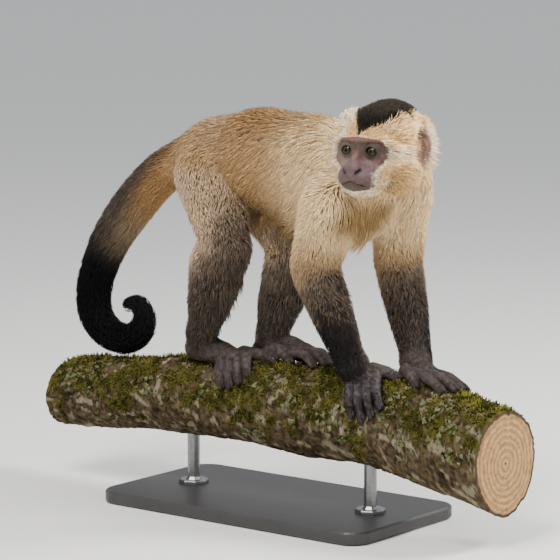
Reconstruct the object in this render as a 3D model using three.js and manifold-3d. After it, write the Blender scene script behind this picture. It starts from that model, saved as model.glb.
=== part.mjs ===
// A life-size capuchin monkey walking on a cut length of branch, held by a plain display stand.
// Millimetres, +Z up. The branch runs along X, and the monkey heads towards +X with its face turned to -Y.
// The origin is the centre of the underside of the stand's base.
import * as THREE from "three";
import Module from "manifold-3d";
import { mergeVertices } from "three/addons/utils/BufferGeometryUtils.js";

const wasm = await Module();
wasm.setup();

// ---------------------------------------------------------------- driving sizes
const GAP = 0.35; // left between neighbouring pieces
const ROOM = 0.55; // by which a piece is grown to be cut out of its neighbour

const BASE = { length: 360, width: 190, height: 14, corner: 22, bevel: 2 };
const ROD = { radius: 7, flange: 17, flangeHeight: 4, at: [-118, 128] };
const BRANCH = {
  from: -308, to: 300, // ends along X
  radius: 46.5, taper: 0.03, // radius at X 0, and what it gains for each millimetre of X
  height: 116, archFrom: -20, arch: 2.6e-4, // the axis drops behind archFrom by arch times the distance squared
  dipFrom: 100, dip: 6.7e-4, // and ahead of dipFrom by dip times the distance squared
};

const v = (x, y, z) => new THREE.Vector3(x, y, z);
const mix = (a, b, t) => a.clone().lerp(b, t);
const rad = THREE.MathUtils.degToRad;

// Joints of the skeleton. right is the side towards -Y.
const SPINE = {
  pelvis: { at: v(-94, 20, 380), size: [50, 42, 46], turn: -3 },
  belly: { at: v(-18, 8, 382), size: [80, 47, 59], turn: -10 },
  chest: { at: v(64, -12, 374.5), size: [82, 49, 65], turn: -16 },
  shoulders: { at: v(122, -24, 360), size: [46, 52, 54], turn: -22 },
};
const NECK = { from: v(120, -22, 375), to: v(160, -38, 395), radius: 43 };
const NAPE = { from: v(175, 6, 354), to: v(198, -14, 388), low: 22, high: 16 }; // fur between the shoulder and the ear
const ARMS = {
  right: { shoulder: v(122, -66, 350), elbow: v(80, -37, 280), wrist: v(129, -37, 181) },
  left: { shoulder: v(154, 17, 350), elbow: v(126, 51, 280), wrist: v(169, 26, 181) },
};
// calf is how far the muscle and long hair behind the knee stand back.
const LEGS = {
  right: { hip: v(-90, -8, 362), knee: v(-34, -40, 289), ankle: v(-90, -20, 190), calf: 16 },
  left: { hip: v(-80, 46, 362), knee: v(1, 34, 284), ankle: v(-23, 20, 188), calf: 5 },
};
// Coat radii at the ends and middles of the limbs' bones.
const ARM_RADII = [35, 32, 28, 23.5, 16.5];
const LEG_RADII = [39, 36, 27.5, 24, 18.5];
const CALF = { along: 0.16, radius: 27 }; // where it is down the shank, and its coat's radius

// Tail: centre line from inside the rump to the curled tip, with the coat radius at each point.
const TAIL = [
  [-110, 20, 384, 30], [-145, 20, 376, 26], [-182, 20, 356, 25.5], [-223, 20, 318, 26], [-250, 17, 284, 24.5],
  [-267, 14, 251, 22.5], [-276, 11, 219, 21.5], [-271, 8, 190, 20.5], [-247, 4, 171, 19.5], [-216, 1, 168, 18.5],
  [-193, -2, 180, 16.5], [-187, -4, 199, 14], [-195, -6, 211, 11.5], [-207, -7, 208, 8.5],
];
const TAIL_CUTS = [0.22, 0.42, 0.62, 0.8]; // where the tail is parted, as shares of its length

// Head: sizes about the middle of the braincase, as [to its left, forward, up]. It looks along -Y.
const HEAD = v(178, -45, 411);
const EYE = { side: 15.6, forward: 38, up: 1, radius: 9.5, opening: 0.9 };
const EAR = { side: 41, forward: -11, up: 3, width: 7, depth: 12, height: 17.5, turn: 28, hollow: 5 };

// Hands and feet on the branch. The knuckle row is centred at x and turn degrees from the branch's top towards -Y.
// The digits head so many degrees from +X towards -Y, side by side over the row, and fan out. Lengths go from the
// outer digit to the one beside the thumb. thumb: heading, length, and how far back and aside it starts.
const PAWS = {
  hand_right: {
    x: 142, turn: 33, heading: 62, row: 26, fan: 5, lengths: [31, 39, 39, 34], radii: [6.1, 4.8], knuckle: 8,
    lift: 9.5, inner: -1, thumb: { heading: 2, length: 25, back: 14, aside: 12, radius: 6.4 },
    palm: [[130, 27, 17, 17], [136, 30, 12, 14], [142, 33, 9, 11]],
  },
  hand_left: {
    x: 193, turn: -8, heading: 4, row: 26, fan: 6, lengths: [36, 46, 46, 38], radii: [6.1, 4.8], knuckle: 9,
    lift: 10.5, inner: 1, thumb: { heading: 34, length: 25, back: 14, aside: 11, radius: 6.4 },
    palm: [[172, -16, 17, 17], [182, -11, 13, 14], [193, -8, 10, 11]],
  },
  foot_right: {
    x: -43, turn: 22, heading: 58, row: 27, fan: 4, lengths: [25, 31, 32, 28], radii: [6.3, 4.9], knuckle: 8,
    lift: 9, inner: -1, thumb: { heading: 4, length: 40, back: 12, aside: 12, radius: 7 },
    palm: [[-102, 12, 15, 14.5], [-80, 14, 14, 14], [-59, 18, 12, 13], [-43, 22, 9, 11]],
  },
  foot_left: {
    x: 27, turn: -16, heading: 6, row: 27, fan: 5, lengths: [29, 36, 37, 32], radii: [6.3, 4.9], knuckle: 13,
    lift: 15, inner: 1, thumb: { heading: 16, length: 32, back: 34, aside: 12, radius: 7 },
    palm: [[-38, -26, 15, 14], [-20, -23, 19, 13.5], [3, -20, 19, 13], [27, -17, 13, 11]],
  },
};

const COLOURS = {
  coat: 0xc9a877, paleCoat: 0xdfc59a, darkCoat: 0x3b332f, blackCoat: 0x17151a, skin: 0x4a4044, ear: 0x8a6a5c,
  eye: 0x2c1a0e, bark: 0x6f6247, base: 0x26211d, rod: 0x8d8f92,
};

// ---------------------------------------------------------------- distance fields of the coat
// A field is a function of a point: negative inside, zero on the surface.
const blend = (a, b, k) => {
  const h = Math.max(k - Math.abs(a - b), 0) / k;
  return Math.min(a, b) - (h * h * k) / 4;
};

// Round bar from a to b whose radius goes from ra to rb.
const bar = (a, b, ra, rb) => {
  const ab = b.clone().sub(a);
  const squared = ab.lengthSq();
  return (p) => {
    const t = THREE.MathUtils.clamp(p.clone().sub(a).dot(ab) / squared, 0, 1);
    return p.distanceTo(a.clone().addScaledVector(ab, t)) - THREE.MathUtils.lerp(ra, rb, t);
  };
};

const chain = (points, radii) => {
  const bars = points.slice(1).map((p, i) => bar(points[i], p, radii[i], radii[i + 1]));
  return (p) => Math.min(...bars.map((f) => f(p)));
};

// Egg with half sizes [along its heading, sideways, up], its heading turned from +X by turn degrees about Z.
const egg = (at, size, turn) => {
  const [c, s] = [Math.cos(rad(turn)), Math.sin(rad(turn))];
  return (p) => {
    const d = p.clone().sub(at);
    const q = v((d.x * c + d.y * s) / size[0], (d.y * c - d.x * s) / size[1], d.z / size[2]);
    const outer = q.length();
    const inner = v(q.x / size[0], q.y / size[1], q.z / size[2]).length() + 1e-9;
    return (outer * (outer - 1)) / inner;
  };
};

const join = (k, ...fields) => (p) => fields.map((f) => f(p)).reduce((a, b) => blend(a, b, k));

const trunkField = join(28, ...Object.values(SPINE).map(({ at, size, turn }) => egg(at, size, turn)));
const neckField = join(
  16,
  bar(NECK.from, NECK.to, NECK.radius, NECK.radius),
  bar(NAPE.from, NAPE.to, NAPE.low, NAPE.high),
);

const limbPoints = ([a, b, c]) => [a, mix(a, b, 0.5), b, mix(b, c, 0.5), c];
const armPoints = (side) => limbPoints([ARMS[side].shoulder, ARMS[side].elbow, ARMS[side].wrist]);
const legPoints = (side) => limbPoints([LEGS[side].hip, LEGS[side].knee, LEGS[side].ankle]);
const armField = (side) => join(8, chain(armPoints(side), ARM_RADII), palmField(PAWS[`hand_${side}`]));
const legField = (side) => {
  const { knee, ankle, calf } = LEGS[side];
  const back = mix(knee, ankle, CALF.along).add(v(-calf, 0, 0));
  const shank = bar(back, mix(back, ankle, 0.5), CALF.radius, 22);
  return join(8, join(14, chain(legPoints(side), LEG_RADII), shank), palmField(PAWS[`foot_${side}`]));
};

const tailCurve = new THREE.CatmullRomCurve3(TAIL.map(([x, y, z]) => v(x, y, z)), false, "centripetal");
const TAIL_STEPS = 32;
const tailRadius = (t) => {
  const s = THREE.MathUtils.clamp(t, 0, 1) * (TAIL.length - 1);
  const i = Math.min(Math.floor(s), TAIL.length - 2);
  return THREE.MathUtils.lerp(TAIL[i][3], TAIL[i + 1][3], s - i);
};
const tailPoints = Array.from({ length: TAIL_STEPS + 1 }, (_, i) => tailCurve.getPoint(i / TAIL_STEPS));
const tailField = chain(tailPoints, tailPoints.map((_, i) => tailRadius(i / TAIL_STEPS)));

const onHead = (left, forward, up) => HEAD.clone().add(v(left, -forward, up));
const headEgg = (left, forward, up, size) => egg(onHead(left, forward, up), size, -90);
const bothSides = (make) => [-1, 1].map(make);
const furredHead = join(
  13,
  headEgg(0, -5, 7, [44, 42, 45]), // braincase and its fur
  headEgg(0, 13, -3, [36, 39, 40]), // face and cheeks
  headEgg(0, 19, 13, [28, 32, 29]), // forehead
  ...bothSides((s) => bar(onHead(24 * s, 16, 18), onHead(29 * s, 23, 28), 20, 15)), // temple tufts
  ...bothSides((s) => bar(onHead(30 * s, 22, -16), onHead(31 * s, 21, 15), 14, 15)), // ruff beside the face
  ...bothSides((s) => bar(onHead(27 * s, 7, -20), onHead(27 * s, 11, -33), 22, 17)), // long cheek fur
  ...bothSides((s) => bar(onHead(28 * s, -22, -10), onHead(30 * s, -26, 6), 17, 15)), // fur behind the ears
);
const muzzle = join(
  9,
  headEgg(0, 38, -22, [25, 22, 19]),
  bar(onHead(0, 42, -34), onHead(0, 32, -40), 12, 12), // chin
);
const headField = join(7, furredHead, muzzle);

// ---------------------------------------------------------------- the branch and places on it
const branchHeight = (x) =>
  BRANCH.height -
  BRANCH.arch * Math.min(x - BRANCH.archFrom, 0) ** 2 -
  BRANCH.dip * Math.max(x - BRANCH.dipFrom, 0) ** 2;
const branchRadius = (x) => BRANCH.radius + BRANCH.taper * x;
const bark = (x, turn) => 1.3 * Math.sin(x / 24 + 2 * turn) + 1.1 * Math.sin(3 * turn - x / 37);
const onBranch = (x, turn, lift) => {
  const r = branchRadius(x) + lift;
  return v(x, -r * Math.sin(rad(turn)), branchHeight(x) + r * Math.cos(rad(turn)));
};
// The place reached from (x, turn) by going so far over the bark in a heading.
const walk = (x, turn, heading, far, lift) =>
  onBranch(
    x + far * Math.cos(rad(heading)),
    turn + THREE.MathUtils.radToDeg((far * Math.sin(rad(heading))) / branchRadius(x)),
    lift,
  );

const digits = (paw) => {
  const { x, turn, heading, row, fan, lengths, radii, knuckle, lift, inner, thumb } = paw;
  const sideways = heading + 90 * inner; // towards the thumb
  const place = (aside, back, raise) => {
    const turned = turn + THREE.MathUtils.radToDeg((aside * Math.sin(rad(sideways))) / branchRadius(x));
    return (direction, far) => walk(x + aside * Math.cos(rad(sideways)), turned, direction, far - back, raise);
  };
  const made = lengths.map((length, i) => {
    const share = i / 3 - 0.5;
    const direction = heading + share * fan * 3 * inner;
    const at = (far, raise) => place(share * row, 0, raise)(direction, far);
    return {
      points: [at(-3, knuckle + 1), at(length * 0.5, lift), at(length, radii[1] - 0.3)],
      radii: [radii[0], radii[0] - 0.3, radii[1]],
    };
  });
  const root = place(thumb.aside, thumb.back, knuckle)(heading, 0);
  const rootTurn = THREE.MathUtils.radToDeg(Math.atan2(-root.y, root.z - branchHeight(root.x)));
  const along = (far, raise) => walk(root.x, rootTurn, thumb.heading, far, raise);
  made.push({
    points: [along(-6, knuckle), along(thumb.length * 0.5, knuckle), along(thumb.length, radii[1])],
    radii: [thumb.radius + 1.5, thumb.radius, radii[1] + 0.3],
  });
  return made;
};
const palmPoints = (paw) => paw.palm.map(([x, turn, lift]) => onBranch(x, turn, lift));
const palmRadii = (paw) => paw.palm.map(([, , , radius]) => radius);
const knuckles = (paw) => {
  const toes = digits(paw);
  return chain([toes[0].points[0], palmPoints(paw).at(-1), toes[3].points[0]], [7.5, 9, 7.5]);
};
const palmField = (paw) => join(6, chain(palmPoints(paw), palmRadii(paw)), knuckles(paw));

// ---------------------------------------------------------------- meshes
const solid = (geometry) => {
  const bare = geometry.clone();
  bare.deleteAttribute("normal");
  bare.deleteAttribute("uv");
  const merged = mergeVertices(bare, 1e-3);
  return new wasm.Manifold(
    new wasm.Mesh({
      numProp: 3,
      vertProperties: merged.attributes.position.array,
      triVerts: new Uint32Array(merged.index.array),
    }),
  );
};

const geometryOf = (manifold) => {
  const mesh = manifold.getMesh();
  const geometry = new THREE.BufferGeometry();
  geometry.setAttribute("position", new THREE.BufferAttribute(new Float32Array(mesh.vertProperties), 3));
  geometry.setIndex(new THREE.BufferAttribute(new Uint32Array(mesh.triVerts), 1));
  geometry.computeVertexNormals();
  return geometry;
};

// How far from a point inside a field one can go along a direction, to where the field reaches `skin`.
const reach = (field, from, direction, most, skin) => {
  const at = (r) => field(from.clone().addScaledVector(direction, r)) - skin;
  const step = 2;
  let r = 0;
  while (r < most && at(r) < 0) r += step;
  let [low, high] = [Math.max(r - step, 0), Math.min(r, most)];
  for (let i = 0; i < 12; i++) {
    const middle = (low + high) / 2;
    if (at(middle) < 0) low = middle;
    else high = middle;
  }
  return Math.max(low, 1);
};

// Closed mesh through rings of points, each end closed to its centre.
const loft = (rings, centres) => {
  const sides = rings[0].length;
  const points = [...rings.flat(), centres[0], centres.at(-1)];
  const [start, end] = [points.length - 2, points.length - 1];
  const index = [];
  for (let i = 0; i < rings.length - 1; i++)
    for (let j = 0; j < sides; j++) {
      const [a, b] = [i * sides + j, i * sides + ((j + 1) % sides)];
      index.push(a, b, b + sides, a, b + sides, a + sides);
    }
  const last = (rings.length - 1) * sides;
  for (let j = 0; j < sides; j++) {
    index.push(start, (j + 1) % sides, j);
    index.push(end, last + j, last + ((j + 1) % sides));
  }
  const geometry = new THREE.BufferGeometry().setFromPoints(points);
  geometry.setIndex(index);
  return geometry;
};

// Sleeve round a line of stations {at, most}: each ring lies across the line, pushed out to where the field reaches
// skin, or to the station's most.
const sleeve = (stations, field, sides, skin = 0) => {
  const rings = stations.map(({ at, most }, i) => {
    const before = stations[Math.max(i - 1, 0)].at;
    const after = stations[Math.min(i + 1, stations.length - 1)].at;
    const axis = stations[i].axis ?? after.clone().sub(before).normalize();
    const side = v(0, 1, 0).cross(axis).normalize();
    const up = axis.clone().cross(side);
    return Array.from({ length: sides }, (_, j) => {
      const t = (2 * Math.PI * j) / sides;
      const direction = side.clone().multiplyScalar(Math.cos(t)).addScaledVector(up, Math.sin(t));
      return at.clone().addScaledVector(direction, reach(field, at, direction, most + skin, skin));
    });
  });
  return solid(loft(rings, stations.map(({ at }) => at)));
};

// Stations along a polyline with a radius at each point, `steps` to each length, from share a to share b of the line.
const stationsOn = (points, radii, steps, slack = 1.3) => {
  const curve = new THREE.CatmullRomCurve3(points, false, "centripetal");
  const count = steps * (points.length - 1);
  return Array.from({ length: count + 1 }, (_, i) => {
    const s = (i / count) * (points.length - 1);
    const k = Math.min(Math.floor(s), points.length - 2);
    const radius = THREE.MathUtils.lerp(radii[k], radii[k + 1], s - k);
    return { at: curve.getPoint(i / count), axis: curve.getTangent(i / count), most: radius * slack };
  });
};

// A rounded end for a sleeve: short last stations that close it like a fingertip.
const roundEnd = (stations, radius, shares = [0.6, 0.92]) => {
  const { at, axis } = stations.at(-1);
  const tips = shares.map((share) => ({
    at: at.clone().addScaledVector(axis, radius * share), axis, most: radius * Math.sqrt(1 - share * share) + 0.4,
  }));
  return [...stations, ...tips];
};

// Ball pushed out from a centre to the field's surface.
const star = (at, field, detail, skin = 0, most = 80) => {
  const ball = new THREE.IcosahedronGeometry(1, detail);
  const position = ball.attributes.position;
  for (let i = 0; i < position.count; i++) {
    const direction = v().fromBufferAttribute(position, i).normalize();
    const p = at.clone().addScaledVector(direction, reach(field, at, direction, most, skin));
    position.setXYZ(i, p.x, p.y, p.z);
  }
  return solid(ball);
};

// Box that starts at a plane and reaches away from it, to cut with.
const slab = (at, normal, width = 130, depth = 130) => {
  const box = new THREE.BoxGeometry(width, width, depth);
  box.translate(0, 0, depth / 2);
  box.applyQuaternion(new THREE.Quaternion().setFromUnitVectors(v(0, 0, 1), normal.clone().normalize()));
  return solid(box.translate(at.x, at.y, at.z));
};

const biggest = (made) => made.decompose().reduce((a, b) => (a.volume() > b.volume() ? a : b));

// ---------------------------------------------------------------- the stand and the branch
const branchSolid = (skin = 0) => {
  const [count, sides] = [15, 12];
  const centres = Array.from({ length: count + 1 }, (_, i) => {
    const x = THREE.MathUtils.lerp(BRANCH.from - skin, BRANCH.to + skin, i / count);
    return v(x, 0, branchHeight(x));
  });
  const rings = centres.map(({ x }) =>
    Array.from({ length: sides }, (_, j) => {
      const turn = (360 * j) / sides;
      return onBranch(x, turn, bark(x, rad(turn)) + skin);
    }),
  );
  return solid(loft(rings, centres));
};

const baseSolid = () => {
  const { length, width, height, corner, bevel } = BASE;
  const [x, y] = [length / 2 - bevel, width / 2 - bevel];
  const outline = new THREE.Shape();
  outline.moveTo(-x + corner, -y).lineTo(x - corner, -y);
  outline.absarc(x - corner, -y + corner, corner, -Math.PI / 2, 0);
  outline.absarc(x - corner, y - corner, corner, 0, Math.PI / 2);
  outline.absarc(-x + corner, y - corner, corner, Math.PI / 2, Math.PI);
  outline.absarc(-x + corner, -y + corner, corner, Math.PI, 1.5 * Math.PI);
  const plate = new THREE.ExtrudeGeometry(outline, {
    depth: height - 2 * bevel, bevelThickness: bevel, bevelSize: bevel, bevelSegments: 1, curveSegments: 3,
  });
  return solid(plate.translate(0, 0, bevel));
};

const rodSolid = (x, carve) => {
  const { radius, flange, flangeHeight } = ROD;
  const top = branchHeight(x);
  const bottom = BASE.height + GAP;
  const profile = [
    [0, bottom], [flange, bottom], [flange, bottom + flangeHeight - 1], [flange - 1, bottom + flangeHeight],
    [radius + 2, bottom + flangeHeight], [radius, bottom + flangeHeight + 3], [radius, top], [0, top],
  ];
  const lathe = new THREE.LatheGeometry(profile.map(([r, z]) => new THREE.Vector2(r, z)), 8);
  return solid(lathe.rotateX(Math.PI / 2).translate(x, 0, 0)).subtract(carve);
};

// ---------------------------------------------------------------- the monkey's pieces
// Each piece is made at its own size, and once more a gap larger, to be cut out of the piece that it grows from.
// A limb is two sleeves, one along each bone and past its middle joint, parted there by the plane that halves the bend.
const limbPieces = ([start, , joint, , end], radii, field, from, skin) => {
  const bones = [[start, joint, from, 1.22, radii[0], radii[2]], [joint, end, -0.28, 1, radii[2], radii[4]]];
  const axes = bones.map(([a, b]) => b.clone().sub(a).normalize());
  const sleeves = bones.map(([a, b, low, high, ra, rb], i) => {
    const count = i ? 7 : 9;
    const stations = Array.from({ length: count + 1 }, (_, k) => {
      const t = THREE.MathUtils.lerp(low, high, k / count);
      return { at: a.clone().lerp(b, t), axis: axes[i], most: THREE.MathUtils.lerp(ra, rb, t) * 1.35 };
    });
    stations[0].at.addScaledVector(axes[i], -skin);
    if (i) stations[count].at.addScaledVector(axes[i], skin - GAP / 2);
    return sleeve(stations, field, 12, skin);
  });
  const half = axes[0].clone().add(axes[1]).normalize().multiplyScalar(GAP / 2);
  return [
    sleeves[0].subtract(slab(joint.clone().sub(half), half)),
    sleeves[1].subtract(slab(joint.clone().add(half), half.clone().negate())),
  ];
};

const armPieces = (side, skin = 0) => limbPieces(armPoints(side), ARM_RADII, armField(side), -0.42, skin);
const legPieces = (side, skin = 0) => limbPieces(legPoints(side), LEG_RADII, legField(side), -0.4, skin);

const pawSolid = (paw, limb, end, radius, field, carve) => {
  const direction = end.clone().sub(limb).normalize();
  const start = end.clone().addScaledVector(direction, GAP / 2);
  const target = palmPoints(paw)[0];
  const stubStations = [-0.2, 0.4, 1].map((t) => ({ at: mix(start, target, t * 0.9), axis: direction, most: radius * 1.35 }));
  let made = sleeve(stubStations, field, 10);
  const [points, radii] = [palmPoints(paw), palmRadii(paw)];
  const back = points[0].clone().sub(points[1]).normalize();
  const heel = [0.9, 0.55].map((share) => ({
    at: points[0].clone().addScaledVector(back, radii[0] * share), axis: back.clone().negate(),
    most: radii[0] * Math.sqrt(1 - share * share) + 0.4,
  }));
  const palm = stationsOn(points, radii, 1, 1.25);
  palm.at(-1).most = paw.row / 2 + 8;
  const front = { ...palm.at(-1), at: palm.at(-1).at.clone().addScaledVector(palm.at(-1).axis, 6.5) };
  made = made.add(sleeve([...heel, ...palm, front], field, 9));
  digits(paw).forEach((digit) => {
    const line = stationsOn(digit.points, digit.radii, 1, 1.02);
    made = made.add(sleeve(roundEnd(line, digit.radii.at(-1), [0.7]), chain(digit.points, digit.radii), 6));
  });
  const cut = slab(start, direction.clone().negate());
  return biggest(made.subtract(cut).subtract(carve));
};

const tailPieces = (skin = 0) => {
  const stations = tailPoints.map((at, i) => ({
    at, axis: tailCurve.getTangent(i / TAIL_STEPS), most: tailRadius(i / TAIL_STEPS) * 1.25,
  }));
  const field = join(16, tailField, trunkField);
  const cuts = [0.03, ...TAIL_CUTS, 1].map((share) => Math.round(share * TAIL_STEPS));
  return cuts.slice(1).map((to, i) => {
    let part = stations.slice(cuts[i], to + 1).map((s) => ({ ...s, at: s.at.clone() }));
    part[0].at.addScaledVector(part[0].axis, GAP / 2 - skin);
    if (to < TAIL_STEPS) part.at(-1).at.addScaledVector(part.at(-1).axis, -GAP / 2 + skin);
    else part = roundEnd(part, tailRadius(1));
    return sleeve(part, i ? tailField : field, 10, skin);
  });
};

const earSolid = (s, skin = 0) => {
  const { side, forward, up, width, depth, height, turn, hollow } = EAR;
  const at = onHead(side * s, forward, up);
  const shell = new THREE.SphereGeometry(1, 9, 6).scale(width + skin, depth + skin, height + skin);
  const bowl = new THREE.SphereGeometry(1, 7, 4).scale(hollow, depth * 0.72, height * 0.74);
  bowl.translate((width + 0.5) * s, -depth * 0.12, 0);
  const made = skin > 0 ? solid(shell) : solid(shell).subtract(solid(bowl));
  return made.rotate([0, 0, turn * s]).translate([at.x, at.y, at.z]);
};

const eyeSolid = (s) => {
  const at = onHead(EYE.side * s, EYE.forward, EYE.up);
  return solid(new THREE.SphereGeometry(EYE.radius, 10, 5).translate(at.x, at.y, at.z));
};

// The room for an eyeball, open to the front.
const socketSolid = (s) => {
  const { side, forward, up, radius, opening } = EYE;
  const [room, mouth] = [radius + 4 * GAP, radius * opening];
  const profile = [[0, -room], [room * 0.75, -room * 0.75], [room, 0], [mouth, room * 0.7], [mouth * 1.25, 26], [0, 26]];
  const lathe = new THREE.LatheGeometry(profile.map(([r, z]) => new THREE.Vector2(r, z)), 10);
  const at = onHead(side * s, forward, up);
  return solid(lathe.rotateZ(Math.PI).translate(at.x, at.y, at.z));
};

const trunkSolid = () => {
  const points = [v(-132, 21, 380), v(-90, 20, 380), v(-18, 8, 382), v(70, -14, 374), v(122, -24, 364), v(158, -36, 362)];
  const stations = stationsOn(points, [30, 46, 60, 64, 56, 34], 2, 1.4);
  return sleeve(stations, trunkField, 13);
};

const neckSolid = (skin = 0) => {
  const field = join(20, neckField, trunkField);
  const points = [mix(NECK.from, NECK.to, 0.1), mix(NECK.from, NECK.to, 0.6), NECK.to, onHead(0, -8, -8)];
  const stations = stationsOn(points, [68, 64, 62, 52], 1, 1.12);
  stations[0].at.addScaledVector(stations[0].axis, -skin);
  return sleeve(stations, field, 12, skin);
};

// ---------------------------------------------------------------- assembly
const group = new THREE.Group();
const add = (name, made, colour, roughness = 0.85, metalness = 0) => {
  const material = new THREE.MeshStandardMaterial({ color: colour, roughness, metalness });
  const mesh = new THREE.Mesh(geometryOf(made), material);
  mesh.name = name;
  group.add(mesh);
};
const without = (made, ...others) => others.reduce((left, other) => left.subtract(other), made);

const perch = branchSolid();
const perchGrown = branchSolid(GAP);
add("stand_base", baseSolid(), COLOURS.base, 0.4);
ROD.at.forEach((x, i) => add(`stand_rod_${i + 1}`, rodSolid(x, perchGrown), COLOURS.rod, 0.35, 1));
add("perch", perch, COLOURS.bark, 0.95);

const headGrown = star(HEAD, headField, 5, ROOM);
const tail = tailPieces();
const tailRoot = tailPieces(ROOM)[0];
// Room on one side of the plane halfway between two joints, which keeps a pair of limbs apart.
const beside = (from, to, gap) => {
  const away = to.clone().sub(from).normalize();
  return slab(mix(from, to, 0.5).addScaledVector(away, gap), away, 400, 200);
};

let trunk = trunkSolid();
const limbs = {};
for (const [side, other] of [["right", "left"], ["left", "right"]]) {
  const [upperArm, forearm] = armPieces(side);
  const [thigh, shank] = legPieces(side);
  const armSide = (gap) => beside(ARMS[other].shoulder, ARMS[side].shoulder, gap);
  const legSide = (gap) => beside(LEGS[other].hip, LEGS[side].hip, gap);
  limbs[side] = {
    upperArm: upperArm.intersect(armSide(GAP / 2)),
    forearm,
    thigh: thigh.intersect(legSide(GAP / 2)).subtract(tailRoot),
    shank,
    grown: [
      armPieces(side, ROOM)[0].intersect(armSide(-GAP / 2)),
      legPieces(side, ROOM)[0].intersect(legSide(-GAP / 2)),
    ],
  };
}
const armsGrown = [limbs.right.grown[0], limbs.left.grown[0]];
trunk = without(trunk, ...limbs.right.grown, ...limbs.left.grown, tailRoot, neckSolid(ROOM), headGrown);
add("trunk", biggest(trunk), COLOURS.coat);
const ears = bothSides((s) => earSolid(s, ROOM));
const sockets = bothSides(socketSolid);
add("neck", without(neckSolid(), headGrown, ...armsGrown, ...ears), COLOURS.paleCoat);
add("head", without(star(HEAD, headField, 5), ...ears, ...sockets), COLOURS.paleCoat);
["right", "left"].forEach((side, i) => {
  add(`ear_${side}`, earSolid(i * 2 - 1), COLOURS.ear);
  add(`eye_${side}`, eyeSolid(i * 2 - 1), COLOURS.eye, 0.08);
});

for (const side of ["right", "left"]) {
  const { upperArm, forearm, thigh, shank } = limbs[side];
  const { elbow, wrist } = ARMS[side];
  const { knee, ankle } = LEGS[side];
  add(`upper_arm_${side}`, without(upperArm, headGrown), COLOURS.paleCoat);
  add(`forearm_${side}`, forearm, COLOURS.darkCoat);
  add(`hand_${side}`, pawSolid(PAWS[`hand_${side}`], elbow, wrist, ARM_RADII[4], armField(side), perchGrown), COLOURS.skin);
  add(`thigh_${side}`, thigh, COLOURS.coat);
  add(`shank_${side}`, shank, COLOURS.darkCoat);
  add(`foot_${side}`, pawSolid(PAWS[`foot_${side}`], knee, ankle, LEG_RADII[4], legField(side), perchGrown), COLOURS.skin);
}
tail.forEach((made, i) => {
  const colour = [COLOURS.coat, COLOURS.coat, COLOURS.darkCoat, COLOURS.blackCoat, COLOURS.blackCoat][i];
  add(`tail_${i + 1}`, without(made, perchGrown), colour);
});

export default group;
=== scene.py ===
"""A life-size capuchin monkey walking on a cut length of branch, on a plain display stand.

Shapes are worked out in millimetres in the part's frame and turned to metres when a mesh is made. One
distance field gives both the skin and the coat: every bar and egg has the radius of the coat's tips and the
coat's depth there, so the skin is the same field with the depths taken off. The head's skin has its own field.
"""
import math
import bpy
import numpy as np
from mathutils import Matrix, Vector


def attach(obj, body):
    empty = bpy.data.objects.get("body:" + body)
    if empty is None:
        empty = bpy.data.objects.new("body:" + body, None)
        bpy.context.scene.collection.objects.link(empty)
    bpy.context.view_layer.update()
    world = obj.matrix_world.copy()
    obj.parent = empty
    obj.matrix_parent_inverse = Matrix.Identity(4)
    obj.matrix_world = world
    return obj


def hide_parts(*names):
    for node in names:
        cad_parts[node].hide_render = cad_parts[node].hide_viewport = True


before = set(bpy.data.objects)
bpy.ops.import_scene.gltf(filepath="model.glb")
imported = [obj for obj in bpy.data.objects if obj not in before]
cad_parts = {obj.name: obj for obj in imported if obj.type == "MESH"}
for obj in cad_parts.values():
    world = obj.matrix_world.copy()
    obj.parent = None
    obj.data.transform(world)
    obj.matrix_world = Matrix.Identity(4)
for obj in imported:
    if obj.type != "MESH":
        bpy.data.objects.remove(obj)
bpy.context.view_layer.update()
rng = np.random.default_rng(7)
BIG = 1e3
LOCKS, QUICK_LOCKS = 144000, 12000
LOCKS_IN_A_PIECE = 19000  # of 10 triangles each
MOSS_SPIKES, QUICK_MOSS_SPIKES = 20000, 2000
SKIN_STEP, QUICK_SKIN_STEP = 1.2, 2.4


def vec(*xyz):
    return np.array(xyz, float)


def unit(a):
    return a / np.maximum(np.linalg.norm(a, axis=-1, keepdims=True), 1e-9)


def mix(a, b, t):
    return a + (b - a) * t


def smooth(low, high, x):
    t = np.clip((x - low) / (high - low), 0, 1)
    return t * t * (3 - 2 * t)


def dot(a, b):
    return np.einsum("ij,ij->i", a, b)


def col(t):
    return t[:, None]


def wave(p, size, seed=0.0):
    """Cheap smooth noise from -1 to 1 with features about `size` across."""
    q = p * (2 * math.pi / (size * 2.2))
    a = np.sin(q[:, 0] * 1.1 + 2.3 * np.sin(q[:, 1] * 0.9 + seed) + seed * 1.7)
    b = np.sin(q[:, 1] * 1.3 + 2.1 * np.sin(q[:, 2] * 0.8 - seed) - seed * 0.6)
    c = np.sin(q[:, 2] * 1.2 + 1.9 * np.sin(q[:, 0] * 1.0 + 2 * seed) + seed)
    return (a + b + c) / 3


TURNS = [np.linalg.qr(np.random.default_rng(k).normal(size=(3, 3)))[0] for k in (1, 2, 3)]


def tangle(p, size, seed=0.0):
    """wave() turned and bent, so that no rows of it show."""
    bent = p + 0.7 * size * np.stack([wave(p @ TURNS[0], 1.9 * size, seed + k) for k in (1, 5, 9)], 1)
    return 0.75 * (wave(bent @ TURNS[1], size, seed) + wave(bent @ TURNS[2], 1.4 * size, seed + 4))


# ---------------------------------------------------------------- camera, light and floor
CAMERA = dict(azimuth=38, elevation=8, distance=3000, target=vec(-16, 27, 250), width_at_target=616)


def look_from(azimuth, elevation):
    a, e = math.radians(azimuth), math.radians(elevation)
    return vec(math.sin(a) * math.cos(e), -math.cos(a) * math.cos(e), math.sin(e))


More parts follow.
